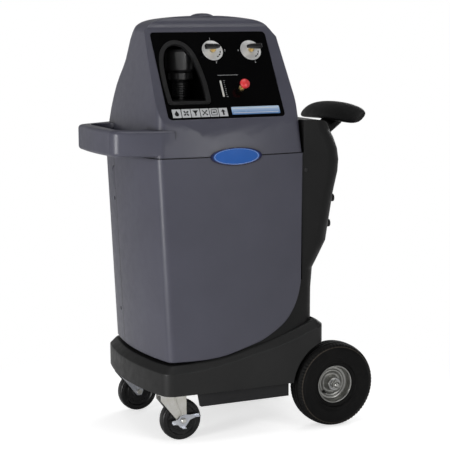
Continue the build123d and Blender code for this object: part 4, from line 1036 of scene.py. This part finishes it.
badge = {"bow": 1478.5, "middle": -62.0, "turns": 96, "rimRows": 4, "lineRow": 5,
         # share of the oval's half size and height over its back in mm
         "rings": [(1.0, 0.0), (1.0, 2.0), (0.985, 2.5), (0.93, 2.6), (0.90, 2.1), (0.86, 2.0), (0.84, 2.0),
                   (0.60, 2.25), (0.3, 2.4), (0.0, 2.45)]}


def badgePiece():
    # domed oval with a dark raised rim and one pale line, curved with the cabinet's side
    low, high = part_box("badge_plate")
    middle = (low + high) / 2
    halfLong, halfHigh = (high.x - low.x) / 2, (high.z - low.z) / 2
    bow = badge["bow"] * mm
    back = low.y + 2.6 * mm
    solid = bmesh.new()
    rows = []
    for share, lift in badge["rings"]:
        ring = []
        for k in range(badge["turns"]):
            angle = 2 * math.pi * k / badge["turns"]
            x = middle.x + halfLong * share * math.cos(angle)
            z = middle.z + halfHigh * share * math.sin(angle)
            away = x - badge["middle"] * mm
            ring.append(solid.verts.new((x, back + away * away / (2 * bow) - lift * mm, z)))
        rows.append(ring)
    count = badge["turns"]
    for level, (outer, nextRow) in enumerate(zip(rows, rows[1:])):
        for k in range(count):
            after = (k + 1) % count
            face = solid.faces.new((outer[k], outer[after], nextRow[after], nextRow[k]))
            inner = 2 if level == badge["lineRow"] else 1
            face.material_index = 0 if level < badge["rimRows"] else inner
    solid.faces.new(rows[0][::-1])
    bmesh.ops.remove_doubles(solid, verts=solid.verts, dist=0.002 * mm)
    bmesh.ops.recalc_face_normals(solid, faces=solid.faces)
    mesh = bpy.data.meshes.new("badgeMesh")
    solid.to_mesh(mesh)
    solid.free()
    addPiece("badge", mesh, ["badgeRim", "badgeBlue", "badgeLine"], "badge_plate", sharp=50)


badgePiece()
print("badge built")


# Screws

screw = {"turns": 48, "cross": 1.5, "crossReach": 3.6, "crossDeep": 1.2}


def screwHead(solid, centre, axis, radius, thick, shank, shankRadius):
    # pan head with a cross recess; the axis points out of the casing
    axis = Vector(axis).normalized()
    side = axis.orthogonal().normalized()
    other = axis.cross(side)
    section = [(-shank, 0.01), (-shank, shankRadius), (0, shankRadius), (0, radius), (thick * 0.55, radius),
               (thick * 0.85, radius * 0.88), (thick, radius * 0.66)]
    rings = []
    turns = screw["turns"]
    for along, r in section:
        rings.append([solid.verts.new(centre + (axis * along + (side * math.cos(2 * math.pi * k / turns)
                     + other * math.sin(2 * math.pi * k / turns)) * r) * mm) for k in range(turns)])
    for lower, upper in zip(rings, rings[1:]):
        for k in range(turns):
            after = (k + 1) % turns
            solid.faces.new((lower[k], lower[after], upper[after], upper[k]))
    # outline of the cross, walked round once
    half, reach = screw["cross"] / 2, screw["crossReach"]
    corners = []
    for quarter in range(4):
        c, s = math.cos(quarter * math.pi / 2), math.sin(quarter * math.pi / 2)
        for x, y in ((reach, -half), (reach, half), (half, half)):
            corners.append((x * c - y * s, x * s + y * c))
    top = [solid.verts.new(centre + (axis * thick + side * x + other * y) * mm) for x, y in corners]
    floor = [solid.verts.new(centre + (axis * (thick - screw["crossDeep"]) + side * x + other * y) * mm)
             for x, y in corners]
    count = len(corners)
    for k in range(count):
        after = (k + 1) % count
        solid.faces.new((top[k], top[after], floor[after], floor[k]))
    solid.faces.new(floor[::-1])
    loop = [solid.edges.get((rings[-1][k], rings[-1][(k + 1) % turns])) for k in range(turns)]
    crossLoop = [solid.edges.get((top[k], top[(k + 1) % count])) for k in range(count)]
    bmesh.ops.triangle_fill(solid, use_beauty=True, edges=[e for e in loop + crossLoop if e])


def screws():
    whole = bmesh.new()
    for low, high in screwPlaces:
        size = high - low
        middle = (low + high) / 2
        if size.x > size.z * 1.1 and size.y < size.x:
            radius = size.y / 2 / mm
            seat = Vector((low.x + 4 * mm, middle.y, middle.z))
            screwHead(whole, seat, (-1, 0, 0), radius, 4.0, 12.0, 2.5)
        else:
            radius = size.x / 2 / mm
            way = 1 if middle.y > 0 else -1
            outer = high.y if way > 0 else low.y
            seat = Vector((middle.x, outer - way * 2 * mm, middle.z))
            screwHead(whole, seat, (0, way, 0), radius, 2.0, 11.5, 2.5)
    bmesh.ops.recalc_face_normals(whole, faces=whole.faces)
    mesh = bpy.data.meshes.new("screwsMesh")
    whole.to_mesh(mesh)
    whole.free()
    addPiece("casingScrews", mesh, "darkScrew", "screws", sharp=35)


screws()

left = [n for n in nodes if not nodes[n].hide_render]
print("nodes still shown as they are:", left)
